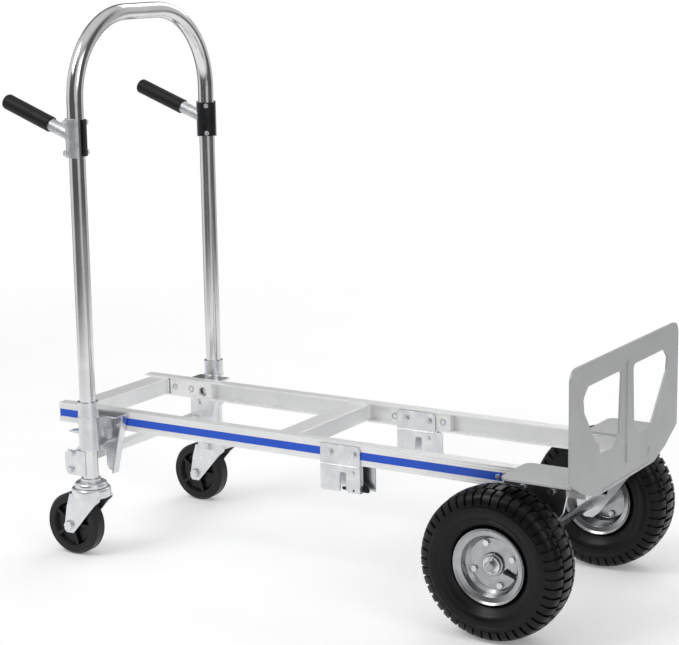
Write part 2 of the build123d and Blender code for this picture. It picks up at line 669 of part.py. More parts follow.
def rim_bolts():
    """Four bolts that hold the rim halves together."""
    bolts = []
    face = DISC_Y - RIM_SHEET / 2
    back = DISC_Y + RIM_SHEET * 1.5 + 0.1
    for i in range(4):
        turn = radians(20 + 90 * i)
        x, z = RIM_BOLT_RING * cos(turn), RIM_BOLT_RING * sin(turn)
        bolt = rod_y(x, z, face, back + 6, 6)
        bolt += hexagon_y(x, z, face - 4, face, 10)
        bolts.append(bolt + hexagon_y(x, z, back, back + 5, 10))
    return bolts


# ---- folding hinge with the sleeve that the handle slides in -------------------------------------

def hinge_sleeve():
    """Folded arm that turns on the rail's pivot bolt, with the handle sleeve welded in it."""
    back = -ARM_OUT
    seat = BRACE_TOP + SIDE_GAP
    outline = [
        (LEG_X - 21, ARM_TOP), (LEG_X - 21, seat + 1), (BRACE_FRONT + 3, seat + 1),
        (BRACE_FRONT + 3, LEG_FOOT + 12), (BRACE_FRONT + 8, LEG_FOOT + 4), (ARM_FRONT - 28, LEG_FOOT),
        (ARM_FRONT, ARM_TOP),
    ]
    arm = side_plate(outline, back, ARM_SHEET)
    flange = (-SPACER_OUT, back + 1)
    arm += block((LEG_X - 21, ARM_FRONT), flange, (ARM_TOP - ARM_SHEET, ARM_TOP))
    edge = [
        (ARM_FRONT, ARM_TOP), (ARM_FRONT - 3.2, ARM_TOP), (ARM_FRONT - 31, LEG_FOOT + 1),
        (ARM_FRONT - 27.8, LEG_FOOT + 1),
    ]
    arm += side_plate(edge, back - 13, 14)
    arm += block((LEG_X - 8, LEG_X + 8), flange, (SLEEVE_LOW + 3, SLEEVE_LOW + 7))
    arm += block((LEG_X - 8, LEG_X - 4), flange, (SLEEVE_LOW + 3, ARM_TOP - 1))
    slot = (SLEEVE_LOW + 10, SLEEVE_LOW + 30)
    arm -= block((LEG_X - 1, LEG_X + 5), (back - 1, back + 2 * ARM_SHEET), slot)
    arm += block((LEG_X + 5, LEG_X + 7.5), (back - 7, back + 1), slot)
    arm += rod_z(LEG_X, -LEG_Y, SLEEVE_LOW, SLEEVE_TOP, SLEEVE_DIAMETER)
    lug = [
        (LEG_X - 15, PIVOT_Z - 14), (LEG_X - 41, PIVOT_Z - 12), (LEG_X - 41, PIVOT_Z - 10),
        (LEG_X - 15, PIVOT_Z - 7),
    ]
    arm += side_plate(lug, -LEG_Y - 9, 18)
    bore = TUBE_DIAMETER + 2 * SLIDE_GAP
    arm -= rod_z(LEG_X, -LEG_Y, SLEEVE_LOW - 1, SLEEVE_TOP + 1, bore)
    return arm - rod_y(PIVOT_X, PIVOT_Z, back - 1, back + ARM_SHEET + 1, PIVOT_DIAMETER + 2 * TURN_GAP)


def pivot_bolt():
    """Shoulder bolt through the hinge arm and the rail's web."""
    outside = -ARM_OUT - SIDE_GAP
    bolt = rod_y(PIVOT_X, PIVOT_Z, outside, -WEB_IN + 8, PIVOT_DIAMETER)
    bolt += rod_y(PIVOT_X, PIVOT_Z, outside - 1.5, outside, 21)
    bolt += hexagon_y(PIVOT_X, PIVOT_Z, outside - 7, outside - 1.5, 13)
    return bolt + hexagon_y(PIVOT_X, PIVOT_Z, -WEB_IN, -WEB_IN + 7, PIVOT_NUT)


# ---- handle --------------------------------------------------------------------------------------

def handle_loop():
    """Bent tube: two long legs joined by a rounded loop at the top."""
    leg = LOOP_START_Z - LEG_FOOT
    top = leg + LOOP_CORNER
    bend_y = LOOP_FLAT + LOOP_CORNER * cos(pi / 4)
    bend_z = leg + LOOP_CORNER * sin(pi / 4)
    path = Wire([
        Line((0, -LEG_Y, 0), (0, -LEG_Y, leg)),
        ThreePointArc((0, -LEG_Y, leg), (0, -bend_y, bend_z), (0, -LOOP_FLAT, top)),
        Line((0, -LOOP_FLAT, top), (0, LOOP_FLAT, top)),
        ThreePointArc((0, LOOP_FLAT, top), (0, bend_y, bend_z), (0, LEG_Y, leg)),
        Line((0, LEG_Y, leg), (0, LEG_Y, 0)),
    ])
    start = Plane(origin=(0, -LEG_Y, 0), z_dir=(0, 0, 1))
    tube = sweep(start * (Circle(TUBE_RADIUS) - Circle(TUBE_RADIUS - TUBE_WALL)), path=path)
    loop = Pos(LEG_X, 0, LEG_FOOT) * tube
    for z in clamp_bolt_heights():
        hole = across_clamp(rod_x(0, z, -TUBE_DIAMETER, TUBE_DIAMETER, 5 + BOLT_GAP))
        loop -= hole
        loop -= across(hole)
    return loop


def along_grip(shape):
    """Turn a shape built along +Z at the origin so that it follows the right grip."""
    turned_shape = Rot(0, GRIP_ANGLE - 90, 0) * shape
    return Pos(LEG_X, -LEG_Y, GRIP_Z) * turned_shape


def across_clamp(shape):
    """Turn a shape built along X so that it crosses the right leg towards its grip clamp."""
    return Pos(LEG_X, -LEG_Y, 0) * (Rot(0, 0, CLAMP_TURN - 90) * shape)


def clamp_bolt_heights():
    """Heights of the clamp bolts."""
    return [GRIP_Z - 27, GRIP_Z + 27]


def clamp_shell(reach, low, high):
    """Part of a ring round the leg that lies more than reach from the leg's middle."""
    ring = rod_z(0, 0, low, high, CLAMP_WIDTH) - rod_z(0, 0, low - 1, high + 1, TUBE_DIAMETER)
    return ring - block((-CLAMP_WIDTH, reach), (-CLAMP_WIDTH, CLAMP_WIDTH), (low - 1, high + 1))


def grip_mount():
    """Cast half clamp on the leg with the post that carries a grip."""
    low, high = GRIP_Z - GRIP_CLAMP_HEIGHT / 2, GRIP_Z + GRIP_CLAMP_HEIGHT / 2
    shell = clamp_shell(1, low, high)
    for z in clamp_bolt_heights():
        shell += rod_x(0, z, TUBE_RADIUS + 1, CLAMP_WIDTH / 2 + 2, 13)
        shell -= rod_x(0, z, 0, CLAMP_WIDTH, 5 + BOLT_GAP)
    cast = across_clamp(shell)
    reach = GRIP_START + GRIP_LENGTH - 4
    cast += along_grip(Pos(0, 0, reach / 2) * Cylinder(GRIP_POST_DIAMETER / 2 - 1, reach))
    return cast - rod_z(LEG_X, -LEG_Y, low - 30, high + 30, TUBE_DIAMETER)


def clamp_cap():
    """Black half of the grip clamp, on the far side of the leg from the casting."""
    low, high = GRIP_Z - GRIP_CLAMP_HEIGHT / 2 + 2, GRIP_Z + GRIP_CLAMP_HEIGHT / 2 - 2
    cap = Rot(0, 0, 180) * clamp_shell(8, low, high)
    for z in clamp_bolt_heights():
        cap -= rod_x(0, z, -40, 0, 5 + BOLT_GAP)
    return across_clamp(cap)


def grip():
    """Rubber grip with a closed round end and finger ripples underneath."""
    bore = GRIP_POST_DIAMETER / 2 - 1
    outer = GRIP_DIAMETER / 2
    sleeve = Pos(0, 0, GRIP_START + GRIP_LENGTH / 2) * Cylinder(outer, GRIP_LENGTH)
    sleeve = fillet(sleeve.edges().sort_by(Axis.Z)[-1], GRIP_ROUND)
    for i in range(4):
        ripple = Pos(-outer - 4, 0, GRIP_START + 24 + 22 * i) * (Rot(90, 0, 0) * Cylinder(6, 60))
        sleeve -= ripple
    inside = GRIP_START + GRIP_LENGTH - 4
    sleeve -= Pos(0, 0, inside / 2) * Cylinder(bore, inside)
    return along_grip(sleeve)


def cross_brace():
    """Flat hollow bar that joins the legs and drops into the latch brackets."""
    x = (BRACE_BACK, BRACE_FRONT)
    z = (BRACE_Z - BRACE_HEIGHT / 2, BRACE_TOP)
    reach = LEG_Y - TUBE_RADIUS - 1
    bar = block(x, (-reach, reach), z)
    bar = fillet(bar.edges().filter_by(Axis.Y), 1.5)
    return bar - block((x[0] + 2, x[1] - 2), (-reach - 1, reach + 1), (z[0] + 2, z[1] - 2))


def brace_bracket():
    """Folded plate that wraps the right leg below the sleeve and carries the brace."""
    low = LEG_FOOT + 6
    outer = -LEG_Y - TUBE_RADIUS
    wrap = rod_z(LEG_X, -LEG_Y, low, BRACKET_TOP, TUBE_DIAMETER + 6)
    wrap -= block((LEG_X + 2, LEG_X + 30), (-LEG_Y - 30, -LEG_Y + 30), (low - 1, BRACKET_TOP + 1))
    plate_outline = [
        (LEG_X, low), (LEG_X - 40, low), (LEG_X - 45, low + 12), (LEG_X - 46, BRACKET_TOP - 8),
        (LEG_X - 38, BRACKET_TOP), (LEG_X, BRACKET_TOP),
    ]
    bracket = wrap + side_plate(plate_outline, outer - 3, 3)
    bracket += side_plate(plate_outline, -LEG_Y + TUBE_RADIUS, 3)
    bracket -= rod_z(LEG_X, -LEG_Y, low - 1, BRACKET_TOP + 1, TUBE_DIAMETER)
    window = (BRACE_Z - BRACE_HEIGHT / 2, BRACE_TOP)
    inner = (-LEG_Y + TUBE_RADIUS + 1, -LEG_Y + TUBE_RADIUS + 4)
    bracket -= block((BRACE_BACK, BRACE_FRONT), inner, window)
    for x, z, diameter in brace_bolt_places():
        bracket -= rod_y(x, z, outer - 4, outer + TUBE_DIAMETER + 4, diameter + BOLT_GAP)
    return bracket


def brace_bolt_places():
    """Places and diameters of the bolts through a brace bracket, as (x, z, diameter)."""
    return [(LEG_X - 28, BRACKET_TOP - 6, 6.0), (LEG_X - 32, LEG_FOOT + 16, 6.0)]


def brace_bolt(x, z, diameter):
    """Bolt across a brace bracket, with a hexagon head outside and a nut inside."""
    outside = -LEG_Y - TUBE_RADIUS - 3
    inside = -LEG_Y + TUBE_RADIUS + 3
    bolt = rod_y(x, z, outside, inside + 6, diameter)
    bolt += rod_y(x, z, outside - 1.2, outside, 13.6)
    bolt += hexagon_y(x, z, outside - 5.4, outside - 1.2, 10)
    return bolt + hexagon_y(x, z, inside, inside + 4, 10)


def clamp_bolt(z):
    """Bolt through the casting, the leg and the clamp cap, with a head and a round nut."""
    seat = CLAMP_WIDTH / 2
    bolt = rod_x(0, z, -seat - 3, seat + 2, 5)
    bolt += rod_x(0, z, seat + 2, seat + 5, 9)
    return across_clamp(bolt + rod_x(0, z, -seat - 3, -seat, 9))


# ---- swivel casters ------------------------------------------------------------------------------

def caster_head():
    """Fixed race and stem pressed into the leg's foot."""
    stem = TUBE_DIAMETER - 2 * TUBE_WALL
    head = rod_z(LEG_X, -LEG_Y, LEG_FOOT, LEG_FOOT + 45, stem)
    head += rod_z(LEG_X, -LEG_Y, LEG_FOOT - 6, LEG_FOOT, TUBE_DIAMETER + 8)
    cap = rod_z(LEG_X, -LEG_Y, LEG_FOOT - 16, LEG_FOOT - 6, CASTER_HEAD_DIAMETER - 12)
    cap = fillet(cap.edges().sort_by(Axis.Z)[-1], 7)
    head += cap
    pin = rod_z(LEG_X, -LEG_Y, RACE_LOW - TURN_GAP, LEG_FOOT - 10, KINGPIN)
    return head + pin + rod_z(LEG_X, -LEG_Y, RACE_LOW - 5, RACE_LOW - TURN_GAP, KINGPIN + 8)


def caster_fork():
    """Swivel race and two-legged fork that trails behind the stem."""
    race_top = LEG_FOOT - 16 - TURN_GAP
    ring = rod_z(LEG_X, -LEG_Y, RACE_LOW, race_top, CASTER_HEAD_DIAMETER)
    ring = fillet(ring.edges().sort_by(Axis.Z)[-1], 5)
    fork = ring
    outline = [
        (LEG_X + 34, RACE_LOW + 3), (LEG_X + 34, RACE_LOW - 4), (LEG_X + 22, RACE_LOW - 14),
        (CASTER_X + 13, CASTER_RADIUS - 10), (CASTER_X + 8, CASTER_RADIUS - 15),
        (CASTER_X - 8, CASTER_RADIUS - 15), (CASTER_X - 13, CASTER_RADIUS - 9),
        (LEG_X - 44, RACE_LOW - 22), (LEG_X - 36, RACE_LOW + 3),
    ]
    for side in (-1, 1):
        low = -LEG_Y + side * (FORK_IN + FORK_SHEET / 2) - FORK_SHEET / 2
        fork += side_plate(outline, low, FORK_SHEET)
    bridge = block((LEG_X - 36, LEG_X + 34), (-LEG_Y - FORK_IN, -LEG_Y + FORK_IN), (RACE_LOW, RACE_LOW + 3))
    fork += bridge
    fork -= rod_z(LEG_X, -LEG_Y, RACE_LOW - 1, race_top + 1, KINGPIN + 2 * TURN_GAP)
    return fork - rod_y(CASTER_X, CASTER_RADIUS, -LEG_Y - 40, -LEG_Y + 40, 10)


def caster_wheel():
    """Solid caster wheel with a hub and spoke recesses on both sides."""
    hub = 14.0
    half = CASTER_WIDTH / 2
    r = CASTER_RADIUS
    outline = [
        (5 + 0.3, -half - 1), (hub, -half - 1), (hub, -half + 8), (r - 22, -half + 8),
        (r - 17, -half), (r - 5, -half), (r, -half + 6), (r, half - 6), (r - 5, half),
        (r - 17, half), (r - 22, half - 8), (hub, half - 8), (hub, half + 1), (5 + 0.3, half + 1),
    ]
    wheel = turned(outline)
    for i in range(5):
        spoke = Rot(0, 72 * i, 0) * block((hub - 1, r - 18), (-half + 1, half - 1), (-3, 3))
        wheel += spoke
    return Pos(CASTER_X, -LEG_Y, CASTER_RADIUS) * wheel


def caster_axle():
    """Bolt through the fork and the wheel, with a nut on the inner side."""
    outside = -LEG_Y - FORK_IN - FORK_SHEET
    inside = -LEG_Y + FORK_IN + FORK_SHEET
    bolt = rod_y(CASTER_X, CASTER_RADIUS, outside, inside + 7, 10)
    bolt += hexagon_y(CASTER_X, CASTER_RADIUS, outside - 6, outside, 16)
    return bolt + hexagon_y(CASTER_X, CASTER_RADIUS, inside, inside + 6, 16)


# ---- writing the parts ---------------------------------------------------------------------------

def write_pair(piece, shape):
    """Write the right-hand piece and its left-hand mirror image."""
    write(f"right_{piece}", shape)
    write(f"left_{piece}", across(shape))


def write_frame():
    """Rails, crossmembers, trim, nylon inserts, nose plate and their fasteners."""
    write_pair("rail", right_rail())
    write("stripes", both(stripe()))
    write("end_crossmember", crossmember(END_CROSS_X))
    write("mid_crossmember", crossmember(MID_CROSS_X))
    write("toe_crossmember", crossmember(TOE_CROSS_X))
    write("end_inserts", both(insert(*END_INSERT)))
    write("mid_inserts", both(insert(*MID_INSERT)))
    screws = insert_screws(*END_INSERT) + insert_screws(*MID_INSERT)
    write("insert_screws", screws, [across(s) for s in screws])
    write("nose_plate", nose_plate())
    screws = [wing_screw(x) for x in wing_bolts_x()] + [stripe_screw()]
    write("frame_screws", screws, [across(s) for s in screws])


def write_latches():
    """Latch brackets, their hooks, pins, springs and bolts."""
    write("latch_outer_plates", both(latch_outer_plate()))
    write_pair("latch_inner_plate", latch_inner_plate())
    write_pair("latch_hook", latch_hook())
    write("latch_pins", both(latch_pin()))
    write("latch_springs", both(latch_spring()))
    bolts = [latch_bolt(x) for x in latch_bolts_x()]
    write("latch_bolts", bolts, [across(b) for b in bolts])


def write_axle():
    """Axle, its brackets, spacers, washers and pins."""
    write_pair("axle_bracket", axle_bracket())
    bolts = [axle_bracket_bolt(x) for x in axle_bracket_bolts_x()]
    write("axle_bracket_bolts", bolts, [across(b) for b in bolts])
    write("axle", axle())
    write("axle_spacers", both(axle_spacer()))
    write("axle_washers", both(axle_washer()))
    write("cotter_pins", both(cotter_pin()))


def write_wheels():
    """Both pneumatic wheels, piece by piece."""
    write_pair("tyre", placed(tyre()))
    write_pair("inner_tube", placed(inner_tube()))
    write_pair("outer_rim", placed(outer_rim()))
    write_pair("inner_rim", placed(inner_rim()))
    for side, turn in (("right", placed), ("left", lambda s: across(placed(s)))):
        write(f"{side}_wheel_bearings", [turn(s) for s in wheel_bearings()])
        write(f"{side}_rim_bolts", [turn(s) for s in rim_bolts()])


def write_handle():
    """Hinge sleeves, handle loop, grips and the cross brace."""
    write_pair("hinge_sleeve", hinge_sleeve())
    write("pivot_bolts", both(pivot_bolt()))
    write("handle_loop", handle_loop())
    write_pair("grip_mount", grip_mount())
    write_pair("grip", grip())
    write("clamp_caps", both(clamp_cap()))
    bolts = [clamp_bolt(z) for z in clamp_bolt_heights()]
    write("clamp_bolts", bolts, [across(b) for b in bolts])
    write("cross_brace", cross_brace())
    write_pair("brace_bracket", brace_bracket())
    bolts = [brace_bolt(*place) for place in brace_bolt_places()]
    write("brace_bolts", bolts, [across(b) for b in bolts])


def write_casters():
    """Both swivel casters, piece by piece."""
    write_pair("caster_head", caster_head())
    write_pair("caster_fork", caster_fork())
    write_pair("caster_wheel", caster_wheel())
    write_pair("caster_axle", caster_axle())


os.makedirs("parts", exist_ok=True)
write_frame()
write_latches()
write_axle()
write_wheels()
write_handle()
write_casters()
print("origin from axle", ORIGIN_X, "mm, handle slide travel", SLIDE_TRAVEL, "mm")
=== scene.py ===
import logging
import math
from dataclasses import dataclass
from enum import Enum

import bmesh
import bpy
from mathutils import Matrix, Vector


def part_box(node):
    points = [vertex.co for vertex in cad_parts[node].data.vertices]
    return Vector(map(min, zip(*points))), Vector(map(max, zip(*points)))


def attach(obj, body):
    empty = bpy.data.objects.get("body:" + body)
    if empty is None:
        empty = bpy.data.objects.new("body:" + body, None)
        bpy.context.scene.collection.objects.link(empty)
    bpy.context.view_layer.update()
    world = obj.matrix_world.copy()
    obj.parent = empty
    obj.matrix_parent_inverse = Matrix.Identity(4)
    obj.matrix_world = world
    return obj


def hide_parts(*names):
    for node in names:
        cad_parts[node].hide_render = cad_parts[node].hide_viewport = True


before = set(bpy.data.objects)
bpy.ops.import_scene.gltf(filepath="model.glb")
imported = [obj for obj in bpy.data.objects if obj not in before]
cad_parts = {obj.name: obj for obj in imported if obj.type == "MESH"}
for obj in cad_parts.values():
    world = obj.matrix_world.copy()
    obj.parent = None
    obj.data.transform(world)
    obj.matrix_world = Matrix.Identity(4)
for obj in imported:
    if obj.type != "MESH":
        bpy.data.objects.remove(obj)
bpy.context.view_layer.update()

LOG = logging.getLogger("hand_truck")
MM = 0.001
BEVEL_SAMPLES = 4
RING_STEPS = 72
RING_SIDES = 8
RIB_STRIPS = 8

Colour = tuple[float, float, float, float]
Point = tuple[float, float, float]


# ---- shader graphs --------------------------------------------------------------------------------


class Wire:
    """One output of a shader graph. Arithmetic on it adds Math nodes."""

    def __init__(self, graph: "Graph", socket: bpy.types.NodeSocket) -> None:
        """Wrap a socket.

        Args:
            graph: Graph that the socket belongs to.
            socket: Output socket of one of its nodes.
        """
        self.graph = graph
        self.socket = socket

    def _math(self, operation: str, *values: "Wire | float") -> "Wire":
        """Add one Math node.

        Args:
            operation: Name of the operation.
            values: Its operands, in order.

        Returns:
            The result.
        """
        return self.graph.node("ShaderNodeMath", {"operation": operation}, dict(enumerate(values)))

    def __add__(self, other: "Wire | float") -> "Wire":
        """Sum."""
        return self._math("ADD", self, other)

    def __radd__(self, other: float) -> "Wire":
        """Sum with a plain number on the left."""
        return self._math("ADD", other, self)

    def __sub__(self, other: "Wire | float") -> "Wire":
        """Difference."""
        return self._math("SUBTRACT", self, other)

    def __rsub__(self, other: float) -> "Wire":
        """Difference with a plain number on the left."""
        return self._math("SUBTRACT", other, self)

    def __mul__(self, other: "Wire | float") -> "Wire":
        """Product."""
        return self._math("MULTIPLY", self, other)

    def ramp(self, low: float, high: float) -> "Wire":
        """Smooth step between two values.

        Args:
            low: Value that becomes 0.
            high: Value that becomes 1.

        Returns:
            The stepped value, from 0 to 1.
        """
        settings = {"interpolation_type": "SMOOTHSTEP"}
        return self.graph.node("ShaderNodeMapRange", settings, {0: self, 1: low, 2: high})

    def limited(self, low: float = 0.0, high: float = 1.0) -> "Wire":
        """Hold the value between two limits.

        Args:
            low: Lowest value.
            high: Highest value.

        Returns:
            The limited value.
        """
        return self._math("MINIMUM", self._math("MAXIMUM", self, low), high)


class Graph:
    """A node tree that is built from Wires."""

    def __init__(self, tree: bpy.types.NodeTree) -> None:
        """Start an empty graph.

        Args:
            tree: Node tree to fill; its nodes are removed first.
        """
        self.tree = tree
        tree.nodes.clear()

    def node(
        self,
        kind: str,
        settings: dict[str, object] | None = None,
        inputs: dict[int | str, object] | None = None,
        output: int | str = 0,
    ) -> Wire:
        """Add any node.

        Args:
            kind: Type name of the node.
            settings: Properties of the node, which are set first.
            inputs: Values or Wires for its input sockets.
            output: Output socket to return.

        Returns:
            The chosen output.
        """
        item = self.tree.nodes.new(kind)
        for key, value in (settings or {}).items():
            setattr(item, key, value)
        for key, value in (inputs or {}).items():
            if isinstance(value, Wire):
                self.tree.links.new(value.socket, item.inputs[key])
            else:
                item.inputs[key].default_value = value
        return Wire(self, item.outputs[output])

    def mix(self, factor: Wire | float, first: Wire | Colour, second: Wire | Colour) -> Wire:
        """Blend two colours.

        Args:
            factor: 0 for the first, 1 for the second.
            first: Colour at 0.
            second: Colour at 1.

        Returns:
            The blended colour.
        """
        inputs = {0: factor, 6: first, 7: second}
        return self.node("ShaderNodeMix", {"data_type": "RGBA"}, inputs, 2)

    def place(self, stretch: Point) -> Wire:
        """Position on the piece, scaled along each axis.

        Args:
            stretch: Cycles per metre along X, Y and Z.

        Returns:
            The scaled position.
        """
        position = self.node("ShaderNodeTexCoord", output="Object")
        settings = {"operation": "MULTIPLY"}
        return self.node("ShaderNodeVectorMath", settings, {0: position, 1: stretch})

    def noise(self, stretch: Point, detail: float = 3.0, warp: float = 0.0) -> Wire:
        """Cloudy noise, from 0 to 1.

        Args:
            stretch: Cycles per metre along each axis.
            detail: Number of finer layers.
            warp: How much the pattern is distorted.

        Returns:
            The noise.
        """
        inputs = {"Vector": self.place(stretch), "Scale": 1.0, "Detail": detail, "Distortion": warp}
        return self.node("ShaderNodeTexNoise", None, inputs)

    def cells(self, stretch: Point) -> Wire:
        """Distance to the nearest scattered point, for pits and grit.

        Args:
            stretch: Cycles per metre along each axis.

        Returns:
            The distance.
        """
        inputs = {"Vector": self.place(stretch), "Scale": 1.0}
        return self.node("ShaderNodeTexVoronoi", None, inputs)

    def soft_edge(self, radius: float) -> Wire:
        """Surface normal with its sharp edges rounded.

        Args:
            radius: Radius of the rounding, in metres.

        Returns:
            The normal.
        """
        return self.node("ShaderNodeBevel", {"samples": BEVEL_SAMPLES}, {"Radius": radius})

    def edge_mask(self, rounded: Wire) -> Wire:
        """How far the rounded normal leaves the flat one: 0 on faces, 1 on edges.

        Args:
            rounded: Normal from soft_edge.

        Returns:
            The mask.
        """
        flat = self.node("ShaderNodeNewGeometry", output="Normal")
        settings = {"operation": "DOT_PRODUCT"}
        facing = self.node("ShaderNodeVectorMath", settings, {0: rounded, 1: flat}, "Value")
        return (1.0 - facing).ramp(0.004, 0.09)

    def bump(self, height: Wire, depth: float, normal: Wire | None = None) -> Wire:
        """Relief from a height.

        Args:
            height: Height from 0 to 1.
            depth: What a height of 1 stands for, in metres.
            normal: Normal that the relief lies on.

        Returns:
            The normal with relief.
        """
        inputs = {"Strength": 1.0, "Distance": depth, "Height": height}
        if normal is not None:
            inputs["Normal"] = normal
        return self.node("ShaderNodeBump", None, inputs)


def surface(name: str, varying: dict[str, Wire], steady: dict[str, object], graph: Graph) -> None:
    """Close a material's graph with its surface shader.

    Args:
        name: Name of the material, for the node's label.
        varying: Wires for the shader's sockets.
        steady: Plain values for its other sockets.
        graph: Graph of the material.
    """
    shader = graph.node("ShaderNodeBsdfPrincipled", {"label": name}, {**steady, **varying})
    output = graph.tree.nodes.new("ShaderNodeOutputMaterial")
    graph.tree.links.new(shader.socket, output.inputs["Surface"])


def new_material(name: str) -> tuple[bpy.types.Material, Graph]:
    """Make an empty node material.

    Args:
        name: Name of the material.

    Returns:
        The material and its graph.
    """
    material = bpy.data.materials.new(name)
    material.use_nodes = True
    return material, Graph(material.node_tree)


# ---- finishes -------------------------------------------------------------------------------------


@dataclass(frozen=True)
class MetalFinish:
    """Bare or plated metal with drawn lines, cloudy tone, scuffs and bright worn edges."""

    name: str
    colour: Colour
    cloud_colour: Colour
    roughness: float
    roughness_spread: float
    lines: Point
    line_depth: float
    clouds: float = 14.0
    scuffs: float = 0.3
    edge_radius: float = 0.0012
    metallic: float = 1.0
    pits: float = 0.0

    def build(self) -> bpy.types.Material:
        """Make the material.

        Returns:
            The finished material.
        """
        material, graph = new_material(self.name)
        rounded = graph.soft_edge(self.edge_radius)
        edge = graph.edge_mask(rounded)
        cloud = graph.noise((self.clouds,) * 3, 4.0, 0.6)
        line = graph.noise(self.lines, 2.0)
        grain = graph.noise((900.0,) * 3, 2.0)
        scuff = graph.noise((38.0, 260.0, 90.0), 5.0, 1.2).ramp(0.66, 0.74)
        smudge = graph.noise((5.0, 7.0, 6.0), 3.0, 1.0).ramp(0.45, 0.75)
        tone = graph.mix(cloud.ramp(0.3, 0.7), self.colour, self.cloud_colour)
        lighter = tuple(min(1.0, c * 1.12 + 0.04) for c in self.colour[:3]) + (1.0,)
        darker = tuple(c * 0.72 for c in self.cloud_colour[:3]) + (1.0,)
        tone = graph.mix(scuff * self.scuffs, tone, darker)
        tone = graph.mix(edge * 0.6, tone, lighter)
        rough = self.roughness + (cloud - 0.5) * self.roughness_spread
        rough = rough + (line - 0.5) * self.roughness_spread + scuff * (self.scuffs * 0.25)
        rough = (rough + smudge * 0.05 - edge * 0.06).limited(0.06, 0.95)
        height = line * 0.7 + grain * 0.3 - scuff * (self.scuffs * 0.5)
        if self.pits:
            height = height - (1.0 - graph.cells((420.0,) * 3).ramp(0.05, 0.5)) * self.pits
        normal = graph.bump(height, self.line_depth, rounded)
        varying = {"Base Color": tone, "Roughness": rough, "Normal": normal}
        surface(self.name, varying, {"Metallic": self.metallic}, graph)
        return material


@dataclass(frozen=True)
class PaintFinish:
    """Powder coat with orange peel, faint streaks, chips, and edges lightened all along, partly as rubbed
    wear and partly as a painted highlight.
    """

    name: str
    colour: Colour
    streak_colour: Colour
    # Colour of bare metal at the chips, also used for the painted highlight along the edges.
    bare_and_highlight_colour: Colour
    roughness: float
    metallic: float = 0.0
    chips: float = 0.5

    def build(self) -> bpy.types.Material:
        """Make the material.

        Returns:
            The finished material.
        """
        material, graph = new_material(self.name)
        rounded = graph.soft_edge(0.0014)
        edge = graph.edge_mask(rounded)
        peel = graph.noise((520.0,) * 3, 2.0)
        cloud = graph.noise((11.0, 11.0, 9.0), 4.0, 0.5)
        streak = graph.noise((60.0, 9.0, 60.0), 4.0, 0.4).ramp(0.5, 0.75)
        chip = graph.noise((160.0,) * 3, 4.0, 1.0).ramp(0.62, 0.66) * edge * self.chips
        # Every edge is lightened towards the bare colour: partly rubbed wear, partly a painted highlight.
        rub_and_painted_highlight = edge * (0.35 + graph.noise((45.0,) * 3, 3.0) * 0.4)
        tone = graph.mix((cloud.ramp(0.3, 0.75) * 0.5 + streak * 0.2), self.colour, self.streak_colour)
        tone = graph.mix((chip + rub_and_painted_highlight * 0.55).limited(), tone, self.bare_and_highlight_colour)
        rough = self.roughness + (cloud - 0.5) * 0.12 + (peel - 0.5) * 0.1 - rub_and_painted_highlight * 0.12
        rough = rough.limited(0.15, 0.95)
        normal = graph.bump(peel - chip * 2.0, 0.00009, rounded)
        varying = {"Base Color": tone, "Roughness": rough, "Normal": normal}
        surface(self.name, varying, {"Metallic": self.metallic}, graph)
        return material


@dataclass(frozen=True)
class RubberFinish:
    """Moulded rubber with a half-gloss skin, fine grain and faint dust in cloudy patches."""

    name: str
    colour: Colour
    dust_colour: Colour
    roughness: float
    dust: float
    grain: float
    depth: float
    specular: float = 0.4

    def build(self) -> bpy.types.Material:
        """Make the material.

        Returns:
            The finished material.
        """
        material, graph = new_material(self.name)
        skin = graph.noise((self.grain,) * 3, 3.0)
        grit = graph.cells((self.grain * 0.7,) * 3).ramp(0.0, 0.6)
        patch = graph.noise((19.0, 23.0, 21.0), 4.0, 0.7)
        film = (patch.ramp(0.48, 0.78) * 0.7 + skin.ramp(0.55, 0.8) * 0.3) * self.dust
        tone = graph.mix(film.limited(), self.colour, self.dust_colour)
        rough = self.roughness + (patch - 0.5) * 0.2 + (skin - 0.5) * 0.12 + film * 0.2
        normal = graph.bump(skin * 0.6 + grit * 0.4, self.depth)
        varying = {"Base Color": tone, "Roughness": rough.limited(0.2, 0.97), "Normal": normal}
        surface(self.name, varying, {"Specular IOR Level": self.specular}, graph)
        return material


@dataclass(frozen=True)
class PlasticFinish:
    """Moulded or extruded plastic with flow marks, a soft skin and handling marks."""

    name: str
    colour: Colour
    shade_colour: Colour
    roughness: float
    flow: Point
    depth: float
    subsurface: float = 0.0
    coat: float = 0.0

    def build(self) -> bpy.types.Material:
        """Make the material.

        Returns:
            The finished material.
        """
        material, graph = new_material(self.name)
        rounded = graph.soft_edge(0.0008)
        edge = graph.edge_mask(rounded)
        flow = graph.noise(self.flow, 3.0, 0.3)
        patch = graph.noise((13.0, 16.0, 14.0), 4.0, 0.6)
        mark = graph.noise((45.0, 200.0, 260.0), 5.0, 1.0).ramp(0.66, 0.72)
        shade = (patch.ramp(0.35, 0.75) * 0.6 + edge * 0.4).limited()
        tone = graph.mix(shade, self.colour, self.shade_colour)
        rough = self.roughness + (flow - 0.5) * 0.14 + (patch - 0.5) * 0.1 + mark * 0.15
        normal = graph.bump(flow - mark * 0.4, self.depth, rounded)
        varying = {"Base Color": tone, "Roughness": rough.limited(0.08, 0.9), "Normal": normal}
        steady = {"Subsurface Weight": self.subsurface, "Coat Roughness": 0.15}
        steady["Subsurface Scale"] = 0.002
        steady["Coat Weight"] = self.coat
        surface(self.name, varying, steady, graph)
        return material


class Slot(Enum):
    """Material slots of the truck, by their names in the record."""

    RAIL = "rail_aluminium"
    POLISHED = "polished_aluminium"
    CAST = "cast_aluminium"
    ZINC = "zinc_steel"
    NOSE = "nose_paint"
    RIM = "rim_steel"
    STRIPE = "blue_trim"
    NYLON = "nylon"
    TYRE = "tyre_rubber"
    TUBE = "tube_rubber"
    GRIP = "grip_rubber"
    TREAD = "caster_tread"
    BLACK = "black_steel"


